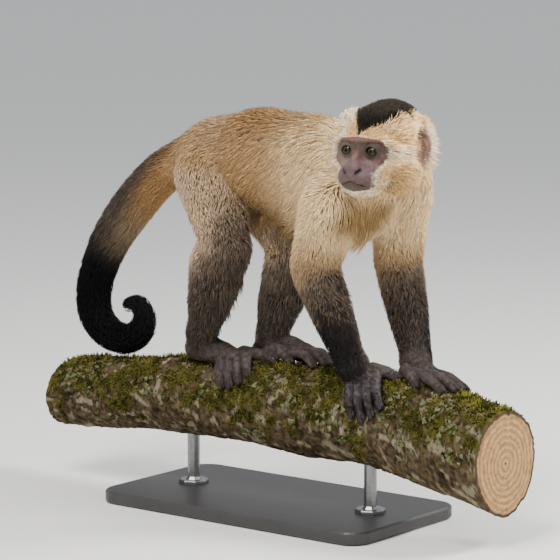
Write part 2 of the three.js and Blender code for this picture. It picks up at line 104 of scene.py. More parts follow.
def add_camera():
    back = look_from(CAMERA["azimuth"], CAMERA["elevation"])
    data = bpy.data.cameras.new("camera")
    data.sensor_width = 36
    data.lens = 36 * CAMERA["distance"] / CAMERA["width_at_target"]
    data.clip_end = 200
    camera = bpy.data.objects.new("camera", data)
    bpy.context.scene.collection.objects.link(camera)
    camera.location = (CAMERA["target"] + CAMERA["distance"] * back) / 1000
    camera.rotation_euler = Vector(back).to_track_quat("Z", "Y").to_euler()
    bpy.context.scene.camera = camera


def add_light(name, azimuth, elevation, distance, size, watts, colour=(1, 1, 1)):
    data = bpy.data.lights.new(name, "AREA")
    data.shape = "DISK"
    data.size = size
    data.energy = watts
    data.color = colour
    light = bpy.data.objects.new(name, data)
    bpy.context.scene.collection.objects.link(light)
    back = look_from(azimuth, elevation)
    light.location = vec(0.02, 0, 0.3) + distance * back
    light.rotation_euler = Vector(back).to_track_quat("Z", "Y").to_euler()


def add_stage():
    bpy.ops.mesh.primitive_circle_add(vertices=96, radius=60, fill_type="NGON", location=(0, 0, -0.0005))
    floor = bpy.context.object
    floor.name = "floor"
    material, _, _, shader = new_material("floor")
    shader.inputs["Base Color"].default_value = (0.80, 0.79, 0.77, 1)
    shader.inputs["Roughness"].default_value = 0.9
    floor.data.materials.append(material)
    world = bpy.data.worlds.new("world")
    world.use_nodes = True
    world.node_tree.nodes["Background"].inputs["Color"].default_value = (0.93, 0.96, 1.0, 1)
    world.node_tree.nodes["Background"].inputs["Strength"].default_value = 0.7
    bpy.context.scene.world = world
    add_light("key", 5, 52, 2.2, 1.1, 65, (1.0, 0.98, 0.94))
    add_light("rim", 128, 38, 2.0, 0.8, 59, (1.0, 0.99, 0.96))
    add_light("fill", 80, 12, 2.6, 1.6, 14, (0.95, 0.97, 1.0))


# ---------------------------------------------------------------- materials
def new_material(name):
    material = bpy.data.materials.new(name)
    material.use_nodes = True
    nodes, links = material.node_tree.nodes, material.node_tree.links
    return material, nodes, links, nodes["Principled BSDF"]


def noise(nodes, links, scale, detail=4, roughness=0.6):
    place = nodes.new("ShaderNodeTexCoord")
    texture = nodes.new("ShaderNodeTexNoise")
    texture.inputs["Scale"].default_value = scale
    texture.inputs["Detail"].default_value = detail
    texture.inputs["Roughness"].default_value = roughness
    links.new(place.outputs["Object"], texture.inputs["Vector"])
    return texture.outputs["Fac"]


def ramp(nodes, links, value, *stops):
    """stops: (position, (r, g, b))."""
    node = nodes.new("ShaderNodeValToRGB")
    while len(node.color_ramp.elements) < len(stops):
        node.color_ramp.elements.new(0.5)
    for element, (position, colour) in zip(node.color_ramp.elements, stops):
        element.position = position
        element.color = (*colour, 1)
    links.new(value, node.inputs["Fac"])
    return node.outputs["Color"]


def blend_colour(nodes, links, kind, factor, a, b):
    node = nodes.new("ShaderNodeMix")
    node.data_type = "RGBA"
    node.blend_type = kind
    for socket, value in (("Factor", factor), ("A", a), ("B", b)):
        target = [i for i in node.inputs if i.name == socket and i.type in ("RGBA", "VALUE")]
        target = [i for i in target if (i.type == "VALUE") == (socket == "Factor")][0]
        if isinstance(value, bpy.types.NodeSocket):
            links.new(value, target)
        else:
            target.default_value = value if socket == "Factor" else (*value, 1)
    return [o for o in node.outputs if o.type == "RGBA"][0]


def bump(nodes, links, height, strength, distance, shader, before=None):
    node = nodes.new("ShaderNodeBump")
    node.inputs["Strength"].default_value = strength
    node.inputs["Distance"].default_value = distance
    links.new(height, node.inputs["Height"])
    if before is not None:
        links.new(before, node.inputs["Normal"])
    links.new(node.outputs["Normal"], shader.inputs["Normal"])
    return node.outputs["Normal"]


def marked_material(name, grain, dark, light, roughness, specular):
    """The marking's colour, darker and lighter by a noise. grain: what noise() takes."""
    material, nodes, links, shader = new_material(name)
    node = nodes.new("ShaderNodeAttribute")
    node.attribute_name = "marking"
    base = node.outputs["Color"]
    flecks = ramp(nodes, links, noise(nodes, links, *grain), (0.3, dark), (0.7, light))
    links.new(blend_colour(nodes, links, "MULTIPLY", 1.0, base, flecks), shader.inputs["Base Color"])
    shader.inputs["Roughness"].default_value = roughness
    shader.inputs["Specular IOR Level"].default_value = specular
    return material, nodes, links, shader, base


def coat_material():
    """Hair: the marking's colour, with small variation, and the soft shine of hair."""
    material, _, links, shader, base = marked_material(
        "coat", (420, 3), (0.78, 0.76, 0.74), (1.14, 1.14, 1.14), roughness=0.65, specular=0.1)
    shader.inputs["Sheen Weight"].default_value = 0.04
    shader.inputs["Sheen Roughness"].default_value = 0.4
    links.new(base, shader.inputs["Sheen Tint"])
    return material


def skin_material():
    """Bare and short-haired skin: the marking's colour with pores, creases and short flat hair as bump."""
    material, nodes, links, shader, _ = marked_material(
        "skin", (260, 5), (0.80, 0.78, 0.78), (1.17, 1.15, 1.14), roughness=0.55, specular=0.26)
    shader.inputs["Subsurface Weight"].default_value = 0.06
    shader.inputs["Subsurface Scale"].default_value = 0.004
    pores = nodes.new("ShaderNodeTexVoronoi")
    pores.inputs["Scale"].default_value = 900
    place = nodes.new("ShaderNodeTexCoord")
    links.new(place.outputs["Object"], pores.inputs["Vector"])
    first = bump(nodes, links, pores.outputs["Distance"], 0.25, 0.0006, shader)
    bump(nodes, links, noise(nodes, links, 330, 6, 0.7), 0.5, 0.0012, shader, first)
    return material


def simple_material(name, dark, light, scale, roughness, metallic=0.0, specular=0.5):
    material, nodes, links, shader = new_material(name)
    value = noise(nodes, links, scale, 5)
    links.new(ramp(nodes, links, value, (0.3, dark), (0.7, light)), shader.inputs["Base Color"])
    shader.inputs["Roughness"].default_value = roughness
    shader.inputs["Metallic"].default_value = metallic
    shader.inputs["Specular IOR Level"].default_value = specular
    bump(nodes, links, value, 0.2, 0.0003, shader)
    return material


# ---------------------------------------------------------------- the body's sizes
# The same joints and radii as the part, out to the coat's tips, with the coat's depths.
SPINE = [
    (vec(-94, 20, 380), (50, 42, 46), -3),
    (vec(-18, 8, 382), (80, 47, 59), -10),
    (vec(64, -12, 374.5), (82, 49, 65), -16),
    (vec(122, -24, 360), (46, 52, 54), -22),
]
TRUNK_DEPTH = ((-110, -40, 60), (9.5, 11, 12))
NECK = (vec(120, -22, 375), vec(160, -38, 395), 43, 43)
NAPE = (vec(175, 6, 354), vec(198, -14, 388), 22, 16)
ARMS = {
    "right": (vec(122, -66, 350), vec(80, -37, 280), vec(129, -37, 181)),
    "left": (vec(154, 17, 350), vec(126, 51, 280), vec(169, 26, 181)),
}
LEGS = {
    "right": (vec(-90, -8, 362), vec(-34, -40, 289), vec(-90, -20, 190)),
    "left": (vec(-80, 46, 362), vec(1, 34, 284), vec(-23, 20, 188)),
}
ARM_RADII, ARM_DEPTHS = (35, 32, 28, 23.5, 16.5), (11, 10, 8, 5.5, 2.6)
LEG_RADII, LEG_DEPTHS = (39, 36, 27.5, 24, 18.5), (10, 10, 8, 6, 3.2)
CALF = {"right": 16, "left": 5}
TAIL = np.array([
    [-110, 20, 384, 30], [-145, 20, 376, 26], [-182, 20, 356, 25.5], [-223, 20, 318, 26],
    [-250, 17, 284, 24.5], [-267, 14, 251, 22.5], [-276, 11, 219, 21.5], [-271, 8, 190, 20.5],
    [-247, 4, 171, 19.5], [-216, 1, 168, 18.5], [-193, -2, 180, 16.5], [-187, -4, 199, 14],
    [-195, -6, 211, 11.5], [-207, -7, 208, 8.5],
], float)
HEAD = vec(178, -45, 411)
EYE = dict(side=15.6, forward=38, up=1, radius=9.5)
EAR = dict(side=37.5, forward=-10, up=3, width=5.8, depth=11.5, height=17, turn=30)
BRANCH = dict(start=-308, end=300, radius=46.5, taper=0.03, height=116, arch_from=-20, arch=2.6e-4,
              dip_from=100, dip=6.7e-4)
PAW_DEPTH, CALF_DEPTH = 1.2, 7.5
# Per paw: knuckle row's middle (x, turn), heading, row width, fan, digit lengths, radii, knuckle and digit
# lifts, side of the thumb, thumb (heading, length, back, aside, radius), palm (x, turn, lift, radius).
PAWS = {
    "hand_right": dict(x=142, turn=33, heading=62, row=26, fan=5, lengths=(31, 39, 39, 34), radii=(6.1, 4.8),
                       knuckle=8, lift=9.5, inner=-1, thumb=(2, 25, 14, 12, 6.4),
                       palm=((130, 27, 17, 17), (136, 30, 12, 14), (142, 33, 9, 11))),
    "hand_left": dict(x=193, turn=-8, heading=4, row=26, fan=6, lengths=(36, 46, 46, 38), radii=(6.1, 4.8),
                      knuckle=9, lift=10.5, inner=1, thumb=(34, 25, 14, 11, 6.4),
                      palm=((172, -16, 17, 17), (182, -11, 13, 14), (193, -8, 10, 11))),
    "foot_right": dict(x=-43, turn=22, heading=58, row=27, fan=4, lengths=(25, 31, 32, 28), radii=(6.3, 4.9),
                       knuckle=8, lift=9, inner=-1, thumb=(4, 40, 12, 12, 7),
                       palm=((-102, 12, 15, 14.5), (-80, 14, 14, 14), (-59, 18, 12, 13), (-43, 22, 9, 11))),
    "foot_left": dict(x=27, turn=-16, heading=6, row=27, fan=5, lengths=(29, 36, 37, 32), radii=(6.3, 4.9),
                      knuckle=13, lift=15, inner=1, thumb=(16, 32, 34, 12, 7),
                      palm=((-38, -26, 15, 14), (-20, -23, 19, 13.5), (3, -20, 19, 13), (27, -17, 13, 11))),
}


# ---------------------------------------------------------------- the branch
def branch_height(x):
    low = np.minimum(x - BRANCH["arch_from"], 0)
    high = np.maximum(x - BRANCH["dip_from"], 0)
    return BRANCH["height"] - BRANCH["arch"] * low**2 - BRANCH["dip"] * high**2


def branch_radius(x):
    return BRANCH["radius"] + BRANCH["taper"] * x


def on_branch(x, turn, lift):
    r = branch_radius(x) + lift
    t = math.radians(turn)
    return vec(x, -r * math.sin(t), branch_height(x) + r * math.cos(t))


def walk(x, turn, heading, far, lift):
    h = math.radians(heading)
    return on_branch(x + far * math.cos(h), turn + math.degrees(far * math.sin(h) / branch_radius(x)), lift)


def digits(paw):
    """Each digit's points from knuckle to tip and their radii, the thumb last."""
    x, turn, heading, inner = paw["x"], paw["turn"], paw["heading"], paw["inner"]
    sideways = math.radians(heading + 90 * inner)
    r0, r1 = paw["radii"]

    def at(aside, far, lift, direction=heading):
        turned = turn + math.degrees(aside * math.sin(sideways) / branch_radius(x))
        return walk(x + aside * math.cos(sideways), turned, direction, far, lift)

    made = []
    for i, length in enumerate(paw["lengths"]):
        share = i / 3 - 0.5
        direction = heading + share * paw["fan"] * 3 * inner
        aside = share * paw["row"]
        points = [at(aside, far, lift, direction) for far, lift in
                  ((-3, paw["knuckle"] + 1), (length * 0.5, paw["lift"]), (length, r1 - 0.3))]
        made.append((points, (r0, r0 - 0.3, r1)))
    direction, length, back, aside, radius = paw["thumb"]
    root = at(aside, -back, paw["knuckle"])
    turned = math.degrees(math.atan2(-root[1], root[2] - branch_height(root[0])))
    points = [walk(root[0], turned, direction, far, lift)
              for far, lift in ((-6, paw["knuckle"]), (length * 0.5, paw["knuckle"]), (length, r1))]
    made.append((points, (radius + 1.5, radius, r1 + 0.3)))
    return made


# ---------------------------------------------------------------- distance fields
def soft_min(a, b, k):
    h = np.maximum(k - np.abs(a - b), 0) / k
    return np.minimum(a, b) - h * h * k * 0.25


def soft_max(a, b, k):
    return -soft_min(-a, -b, k)


def bar(p, a, b, ra, rb):
    ab = b - a
    t = np.clip((p - a) @ ab / (ab @ ab), 0, 1)
    d = p - a - col(t) * ab
    return np.sqrt(dot(d, d)) - (ra + (rb - ra) * t)


def egg(p, at, size, turn=0.0):
    c, s = math.cos(math.radians(turn)), math.sin(math.radians(turn))
    d = p - at
    along, aside = d[:, 0] * c + d[:, 1] * s, d[:, 1] * c - d[:, 0] * s
    q = np.stack([along / size[0], aside / size[1], d[:, 2] / size[2]], 1)
    outer = np.sqrt(dot(q, q))
    q /= np.array(size)
    return outer * (outer - 1) / (np.sqrt(dot(q, q)) + 1e-9)


def chain(p, points, radii):
    return np.minimum.reduce([
        bar(p, a, b, ra, rb) for a, b, ra, rb in zip(points, points[1:], radii, radii[1:])
    ])


def curve_points(points, count):
    """Points along a centripetal Catmull-Rom curve, evenly spread between the given ones."""
    points = np.array(points, float)
    ends = np.vstack([2 * points[0] - points[1], points, 2 * points[-1] - points[-2]])
    knots = np.concatenate([[0], np.cumsum(np.linalg.norm(np.diff(ends[:, :3], axis=0), axis=1) ** 0.5)])
    out = []
    for s in np.linspace(0, len(points) - 1, count + 1):
        i = min(int(s), len(points) - 2)
        k = knots[i:i + 4]
        t = k[1] + (s - i) * (k[2] - k[1])
        q = ends[i:i + 4]
        a = [((k[j + 1] - t) * q[j] + (t - k[j]) * q[j + 1]) / (k[j + 1] - k[j]) for j in range(3)]
        b = [((k[j + 2] - t) * a[j] + (t - k[j]) * a[j + 1]) / (k[j + 2] - k[j]) for j in range(2)]
        out.append(((k[2] - t) * b[0] + (t - k[1]) * b[1]) / (k[2] - k[1]))
    return np.array(out)


def limb_joints(kind, side):
    return (ARMS if kind == "arm" else LEGS)[side]


def limb_points(joints):
    a, b, c = joints
    return [a, mix(a, b, 0.5), b, mix(b, c, 0.5), c]


tail_line = curve_points(TAIL, 44)
tail_length = np.concatenate([[0], np.cumsum(np.linalg.norm(np.diff(tail_line[:, :3], axis=0), axis=1))])
tail_share = tail_length / tail_length[-1]
TAIL_DEPTH = 8.0
digit_sets = {name: digits(paw) for name, paw in PAWS.items()}
palm_points = {
    name: [on_branch(x, turn, lift) for x, turn, lift, _ in paw["palm"]] for name, paw in PAWS.items()
}


def digit_line(points, radii, coat):
    """A finger or toe as a smooth line with radii, in the skin fuller at its joints and its tip."""
    line = curve_points([[*q, r] for q, r in zip(points, radii)], 6)
    if not coat:
        t = np.linspace(0, 1, len(line))
        joints = 0.22 * np.cos((t - 0.02) * 4 * math.pi)
        line[:, 3] += joints - 0.35 - 0.5 * smooth(0.4, 0.8, t) + 0.3 * smooth(0.8, 1, t)
    return line


digit_lines = {
    (name, coat): [digit_line(points, radii, coat) for points, radii in digit_sets[name]]
    for name in PAWS for coat in (False, True)
}


def on_head(left, forward, up):
    return HEAD + vec(left, -forward, up)


def trunk_field(p, coat):
    made = BIG * np.ones(len(p))
    for i, (at, size, turn) in enumerate(SPINE):
        part = egg(p, at, size, turn)
        made = soft_min(made, part, 28) if i else part
    made = soft_min(soft_min(made, bar(p, *NECK), 20), bar(p, *NAPE), 16)
    return made if coat else made + np.interp(p[:, 0], *TRUNK_DEPTH)


def tail_field(p, coat):
    inset = 0 if coat else TAIL_DEPTH
    near = np.minimum(tail_line[:, 3] * 0.62, inset) if not coat else 0
    return chain(p, list(tail_line[:, :3]), tail_line[:, 3] - near)


def paw_field(p, name, coat):
    inset = 0 if coat else PAW_DEPTH
    points, radii = palm_points[name], [r - inset for *_, r in PAWS[name]["palm"]]
    toes = digit_sets[name]
    row = chain(p, [toes[0][0][0], points[-1], toes[3][0][0]], (7.5 - inset, 9 - inset, 7.5 - inset))
    palm = soft_min(chain(p, points, radii), row, 6)
    fingers = np.minimum.reduce([chain(p, list(line[:, :3]), line[:, 3]) for line in digit_lines[name, coat]])
    return soft_min(palm, fingers, 2.5)


def boxed(p, low, high, margin, field):
    """The field where a point is near the box, and the distance to the box elsewhere."""
    away = np.maximum(np.maximum(low - p, p - high), 0)
    far = np.sqrt(dot(away, away))
    made = far + margin * 0.5
    near = far < margin
    if near.any():
        made[near] = field(p[near])
    return made


def paw_name(kind, side):
    return ("hand_" if kind == "arm" else "foot_") + side


def paw_box(name):
    points = [*palm_points[name], *(q for line, _ in digit_sets[name] for q in line)]
    return np.min(points, 0) - 12, np.max(points, 0) + 12


paw_boxes = {name: paw_box(name) for name in PAWS}


def limb_field(p, kind, side, coat):
    joints = limb_joints(kind, side)
    radii, depths = (ARM_RADII, ARM_DEPTHS) if kind == "arm" else (LEG_RADII, LEG_DEPTHS)
    radii = np.array(radii) - (0 if coat else np.array(depths))
    made = chain(p, limb_points(joints), radii)
    if kind == "leg":
        _, knee, ankle = joints
        back = mix(knee, ankle, 0.16) - vec(CALF[side], 0, 0)
        inset = 0 if coat else CALF_DEPTH
        made = soft_min(made, bar(p, back, mix(back, ankle, 0.5), 27 - inset, 22 - inset), 14)
    paw = paw_name(kind, side)
    low, high = paw_boxes[paw]
    return soft_min(made, boxed(p, low, high, 16, lambda q: paw_field(q, paw, coat)), 8)


def head_frame(p):
    """Points as (to the head's left, forward, up) from its middle."""
    d = p - HEAD
    return np.stack([d[:, 0], -d[:, 1], d[:, 2]], 1)


def head_field(p, coat):
    q = head_frame(p)
    q[:, 0] = np.abs(q[:, 0])  # both sides alike
    if coat:
        made = egg(q, vec(0, -5, 7), (42, 44, 45))
        made = soft_min(made, egg(q, vec(0, 13, -3), (39, 36, 40)), 13)
        made = soft_min(made, egg(q, vec(0, 19, 13), (32, 28, 29)), 13)
        made = soft_min(made, bar(q, vec(24, 16, 18), vec(29, 23, 28), 20, 15), 13)
        made = soft_min(made, bar(q, vec(30, 22, -16), vec(31, 21, 15), 14, 15), 13)
        made = soft_min(made, bar(q, vec(27, 7, -20), vec(27, 11, -33), 22, 17), 13)
        made = soft_min(made, bar(q, vec(28, -22, -10), vec(30, -26, 6), 17, 15), 13)
        muzzle = soft_min(egg(q, vec(0, 38, -22), (22, 25, 19)),
                          bar(q, vec(0, 42, -34), vec(0, 32, -40), 12, 12), 9)
        return soft_min(made, muzzle, 7)
    return face_field(q)


def ear_frame(q):
    """Places about the ear, for a point in the head's frame: out of its bowl, towards its front edge, up."""
    t = math.radians(EAR["turn"])
    left, forward = np.abs(q[:, 0]) - EAR["side"], q[:, 1] - EAR["forward"]
    out, front = left * math.cos(t) + forward * math.sin(t), forward * math.cos(t) - left * math.sin(t)
    return out, front, q[:, 2] - EAR["up"]


def ear_field(q):
    """A bowl with a rolled rim, the inner ridge and the small flap in front of the opening."""
    e = np.stack(ear_frame(q), 1)
    outer = egg(e, vec(0, 0, 0), (EAR["width"], EAR["depth"], EAR["height"]))
    bowl = egg(e, vec(5.6, 0.4, -0.4), (6.4, EAR["depth"] - 2.2, EAR["height"] - 2.4))
    made = soft_max(outer, -bowl, 1.6)
    ridge = chain(e, [vec(0.2, -5.0, -9), vec(1.0, -6.0, 0), vec(0.6, -3.0, 8)], [1.3, 1.5, 1.2])
    flap = egg(e, vec(0.8, 8.6, -4.5), (3.0, 2.8, 4.2))
    return soft_min(soft_min(made, ridge, 1.6), flap, 2)


def mouth_line(side):
    """How high the mouth's line lies, out from the middle."""
    return -29.6 - 0.022 * side**2 + 0.6 * np.cos(side * 0.42)


def nostril_field(q):
    """The slit of one nostril, in the head's frame folded to one side."""
    return bar(q, vec(6.8, 60.5, -20.2), vec(10, 58, -17), 1.4, 1.1)


def face_field(q):
    """The head's skin, in its own frame, folded to one side."""
    skull = egg(q, vec(0, -6, 6), (36, 39, 37))
    skull = soft_min(skull, egg(q, vec(0, 14, -3), (30, 33, 34)), 12)
    skull = soft_min(skull, egg(q, vec(0, 18, 12), (27, 27, 25)), 12)
    temple = soft_min(bar(q, vec(22, 15, 17), vec(26, 20, 25), 14, 9),
                      bar(q, vec(23, 20, -14), vec(24, 19, 12), 10.5, 11), 10)
    skull = soft_min(skull, temple, 10)
    cheek = soft_min(egg(q, vec(17, 32, -7), (13, 12, 12)),
                     bar(q, vec(22, 8, -18), vec(20, 14, -30), 17, 12), 12)
    made = soft_min(skull, cheek, 9)
    rim = soft_min(bar(q, vec(26, 32.5, 7), vec(26, 32.5, -8), 9.5, 9.5),
                   bar(q, vec(26, 32.5, -8), vec(20, 36, -20), 9.5, 9), 4)
    made = soft_min(made, rim, 5)
    brow = bar(q, vec(0, 42, 11.5), vec(17, 40.5, 13.5), 6.2, 5.6)
    brow = soft_min(brow, bar(q, vec(17, 40.5, 13.5), vec(27, 33, 9), 5.6, 4.5), 4)
    made = soft_min(made, brow, 6)
    bridge = bar(q, vec(0, 43, 7), vec(0, 53.5, -12), 5.6, 5.8)
    made = soft_min(made, bridge, 7)
    snout = soft_min(egg(q, vec(0, 37.5, -23.5), (22, 24.5, 16.5)),
                     egg(q, vec(10.5, 43.5, -26), (13, 15, 11.5)), 8)
    chin = soft_min(bar(q, vec(0, 46, -36), vec(0, 34, -40), 9.5, 10),
                    bar(q, vec(0, 47, -35), vec(15, 40, -34), 7, 8), 4)
    made = soft_min(made, soft_min(snout, chin, 5), 6)
    nose = soft_min(egg(q, vec(0, 57, -14), (5.2, 5.4, 4.6)),
                    egg(q, vec(5.0, 56.2, -16.2), (3.4, 4.4, 3.6)), 3)
    made = soft_min(made, nose, 4)
    eye = vec(EYE["side"], EYE["forward"], EYE["up"])
    lids = egg(q, eye, (EYE["radius"] + 1.5,) * 3)
    made = soft_min(made, lids, 2.5)
    fold = np.abs(np.sqrt(dot(q - eye, q - eye)) - (EYE["radius"] + 2.9)) - 0.25
    fold = np.maximum(fold, np.abs(q[:, 2] - eye[2] - 6.4) - 2.4)
    made = soft_max(made, -fold, 1.2)
    made = soft_max(made, -nostril_field(q), 1.0)
    lips = np.maximum(np.abs(q[:, 2] - mouth_line(q[:, 0])) - 0.4, q[:, 0] - 17.5)
    lips = np.maximum(lips, 36 - q[:, 1])
    depth = 1.3 * (1 - 0.5 * smooth(11, 17.5, q[:, 0]))
    made = soft_max(made, -np.maximum(lips, -made - depth), 0.8)
    # The opening between the lids, as two arcs.
    left, up = q[:, 0] - eye[0], q[:, 2] - eye[2] + 0.10 * (q[:, 0] - eye[0])
    reach, upper, lower = 6.7, 4.9, 4.4
    arcs = []
    for high, sign in ((upper, 1), (lower, -1)):
        radius = (reach**2 + high**2) / (2 * high)
        arcs.append(np.hypot(left, up + sign * (radius - high)) - radius)
    opening = np.maximum(np.maximum(*arcs), 42.6 - q[:, 1])
    made = soft_max(made, -opening, 0.5)
    return soft_min(made, ear_field(q), 4)


def limb_box(kind, side):
    low, high = paw_boxes[paw_name(kind, side)]
    joints = limb_joints(kind, side)
    return np.minimum(np.min(joints, 0) - 42, low), np.maximum(np.max(joints, 0) + 42, high)


LIMBS = [(kind, side) for kind in ("arm", "leg") for side in ("right", "left")]
limb_boxes = {limb: limb_box(*limb) for limb in LIMBS}


def region_fields(p, coat=False):
    """The fields of trunk, tail, the four limbs and the head, in that order."""
    made = [
        boxed(p, vec(-150, -80, 300), vec(205, 75, 445), 24, lambda q: trunk_field(q, coat)),
        boxed(p, vec(-300, -30, 145), vec(-90, 55, 420), 24, lambda q: tail_field(q, coat)),
    ]
    for kind, side in LIMBS:
        low, high = limb_boxes[kind, side]
        made.append(boxed(p, low, high, 24, lambda q, k=kind, s=side: limb_field(q, k, s, coat)))
    made.append(boxed(p, HEAD - 60, HEAD + 64, 20, lambda q: head_field(q, coat)))
    return np.stack(made, 1)


def body_field(p, coat=False):
    f = region_fields(p, coat)
    limbs = [soft_min(f[:, 0], f[:, i], 16) for i in range(1, 6)]
    made = limbs[0]
    for limb in limbs[1:]:
        made = soft_min(made, limb, 3)
    return soft_min(made, f[:, 6], 10)


def slope(field, p, step=0.3):
    """The field's value and the way in which it grows."""
    f = field(p)
    return f, np.stack([field(p + d) - f for d in np.eye(3) * step], 1) / step


# ---------------------------------------------------------------- meshes
def mesh_object(name, points, faces, material, body="root"):
    """points in mm, and faces an array of triangles or quads."""
    mesh = bpy.data.meshes.new(name)
    count, sides = faces.shape
    mesh.vertices.add(len(points))
    mesh.vertices.foreach_set("co", (np.asarray(points, np.float32) / 1000).ravel())
    mesh.loops.add(count * sides)
    mesh.loops.foreach_set("vertex_index", faces.astype(np.int32).ravel())
    mesh.polygons.add(count)
    mesh.polygons.foreach_set("loop_start", np.arange(0, count * sides, sides, dtype=np.int32))
    mesh.update(calc_edges=True)
    mesh.polygons.foreach_set("use_smooth", np.full(count, True))
    mesh.materials.append(material)
    made = bpy.data.objects.new(name, mesh)
    bpy.context.scene.collection.objects.link(made)
    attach(made, body)
    return made


def ring_quads(rows, around):
    """Quads between rows + 1 closed rings of points."""
    i, j = np.meshgrid(np.arange(rows), np.arange(around), indexing="ij")
    i, j = i.ravel(), j.ravel()
    k = (j + 1) % around
    return np.stack([i * around + j, (i + 1) * around + j, (i + 1) * around + k, i * around + k], 1)


def paint(made, colours):
    layer = made.data.color_attributes.new("marking", "FLOAT_COLOR", "POINT")
    rgba = np.ones((len(colours), 4), np.float32)
    rgba[:, :3] = colours
    layer.data.foreach_set("color", rgba.ravel())


def surface_net(values, origin, step):
    """Quads over the zero surface of a grid of values, one vertex in each cell that it passes through."""
    inside = values < 0
    corners = [(i, j, k) for i in (0, 1) for j in (0, 1) for k in (0, 1)]
    n = np.array(values.shape) - 1

    def part(array, corner):
        i, j, k = corner
        return array[i:i + n[0], j:j + n[1], k:k + n[2]]

    count = sum(part(inside, c).astype(np.int8) for c in corners)
    mixed = (count > 0) & (count < 8)
    cells = np.argwhere(mixed)
    number = np.full(mixed.shape, -1, np.int32)
    number[mixed] = np.arange(len(cells))
    at = {c: part(values, c)[mixed] for c in corners}
    total, weight = np.zeros((len(cells), 3)), np.zeros(len(cells))
    for a in corners:
        for axis in range(3):
            if a[axis]:
                continue
            b = tuple(v + (i == axis) for i, v in enumerate(a))
            crossed = (at[a] < 0) != (at[b] < 0)
            t = at[a][crossed] / (at[a][crossed] - at[b][crossed])
            place = np.tile(np.array(a, float), (len(t), 1))
            place[:, axis] += t
            total[crossed] += place
            weight[crossed] += 1
    points = origin + step * (cells + total / col(weight))
    quads = []
    for axis in range(3):
        u, v = (axis + 1) % 3, (axis + 2) % 3
        low = [slice(1, -1)] * 3
        low[axis] = slice(0, -1)
        high = list(low)
        high[axis] = slice(1, None)
        a, b = inside[tuple(low)], inside[tuple(high)]
        for flip, crossing in ((False, a & ~b), (True, b & ~a)):
            e = np.argwhere(crossing)
            e[:, u] += 1
            e[:, v] += 1
            ring = []
            for du, dv in ((0, 0), (1, 0), (1, 1), (0, 1)):
                c = e.copy()
                c[:, u] -= 1 - du
                c[:, v] -= 1 - dv
                ring.append(number[tuple(c.T)])
            quads.append(np.stack(ring[::-1] if flip else ring, 1))
    quads = np.vstack(quads)
    return points, quads[(quads >= 0).all(1)]


def field_grid(field, low, high, step, coarse=4):
    """Values of a field on a grid, worked out finely only near its surface."""
    size = np.ceil((np.array(high) - low) / (step * coarse)).astype(int)
    axes = [low[i] + step * coarse * (np.arange(size[i]) + 0.5) for i in range(3)]
    centres = np.stack(np.meshgrid(*axes, indexing="ij"), -1).reshape(-1, 3)
    rough = field(centres).reshape(size)
    near = np.abs(rough) < step * coarse
    values = np.repeat(np.repeat(np.repeat(rough, coarse, 0), coarse, 1), coarse, 2)
    band = np.repeat(np.repeat(np.repeat(near, coarse, 0), coarse, 1), coarse, 2)
    cells = np.argwhere(band)
    values[band] = field(low + step * cells)
    return values


def settle(p, field, rounds=2, most=1.5):
    """Moves points onto the zero surface of a field."""
    for _ in range(rounds):
        f, way = slope(field, p, 0.15)
        p = p - np.clip(col(f / np.maximum(dot(way, way), 0.2)), -most, most) * way
    return p


# ---------------------------------------------------------------- markings
def rgb(r, g, b):
    """A colour as it looks on a screen, 0 to 255, as the light it stands for."""
    c = np.array([r, g, b], float) / 255
    return np.where(c < 0.04045, c / 12.92, ((c + 0.055) / 1.055) ** 2.4)


BACK = rgb(142, 104, 66)
FLANK = rgb(196, 158, 112)
BELLY = rgb(166, 132, 88)
CREAM = rgb(255, 224, 175)
CHEST = rgb(156, 124, 76)
WHITE = rgb(255, 241, 214)
HONEY = rgb(238, 196, 138)
CHEEK = rgb(204, 164, 102)
GOLD = rgb(176, 138, 90)
BROWN = rgb(122, 106, 92)
THIGH = rgb(212, 184, 152)
DUSK = rgb(74, 65, 60)
GRIZZLE = rgb(158, 138, 110)
BLACK = rgb(14, 13, 16)
CAP = rgb(8, 8, 10)
FACE = rgb(64, 38, 33)
ROSE = rgb(104, 74, 70)
MUZZLE = rgb(90, 68, 71)
MOUTH_SKIN = rgb(74, 56, 52)
# Painted shade: in the fold under the brow, round the eyes and about the nostrils.
SHADE_BROWN = rgb(38, 22, 18)
LID = rgb(20, 14, 13)
LIP = rgb(66, 44, 38)
# Painted shade: in the mouth's line and inside the nostrils.
GAP_SHADE = rgb(26, 18, 18)
EAR_SKIN = rgb(130, 98, 84)
EAR_DARK = rgb(70, 52, 44)
PAW = rgb(84, 74, 75)
PAW_DARK = rgb(52, 46, 47)

# The cap's half widths to the head's right and left, by the angle up and over from the front. The photo's cap
# is fuller on the left.
CAP_ANGLES = (18, 24, 30, 37, 50, 65, 80, 100, 140, 170, 200)
CAP_RIGHT = (-1, 2, 5, 8, 14, 20, 25, 27, 24, 18, 8)
CAP_LEFT = (-1, 4, 10, 17, 32, 33, 31, 24, 16, 11, 5)


def cap_share(q):
    """1 in the dark cap, 0 outside it. q is in the head's frame."""
    angle = np.degrees(np.arctan2(q[:, 2], q[:, 1])) % 360
    right, left = np.interp(angle, CAP_ANGLES, CAP_RIGHT), np.interp(angle, CAP_ANGLES, CAP_LEFT)
    width = np.where(q[:, 0] < 0, right, left)
    share = smooth(1.6, -1.6, np.abs(q[:, 0]) - width - 0.8 * wave(q, 6, 2))
    return share * smooth(15, 19, angle) * smooth(215, 195, angle)


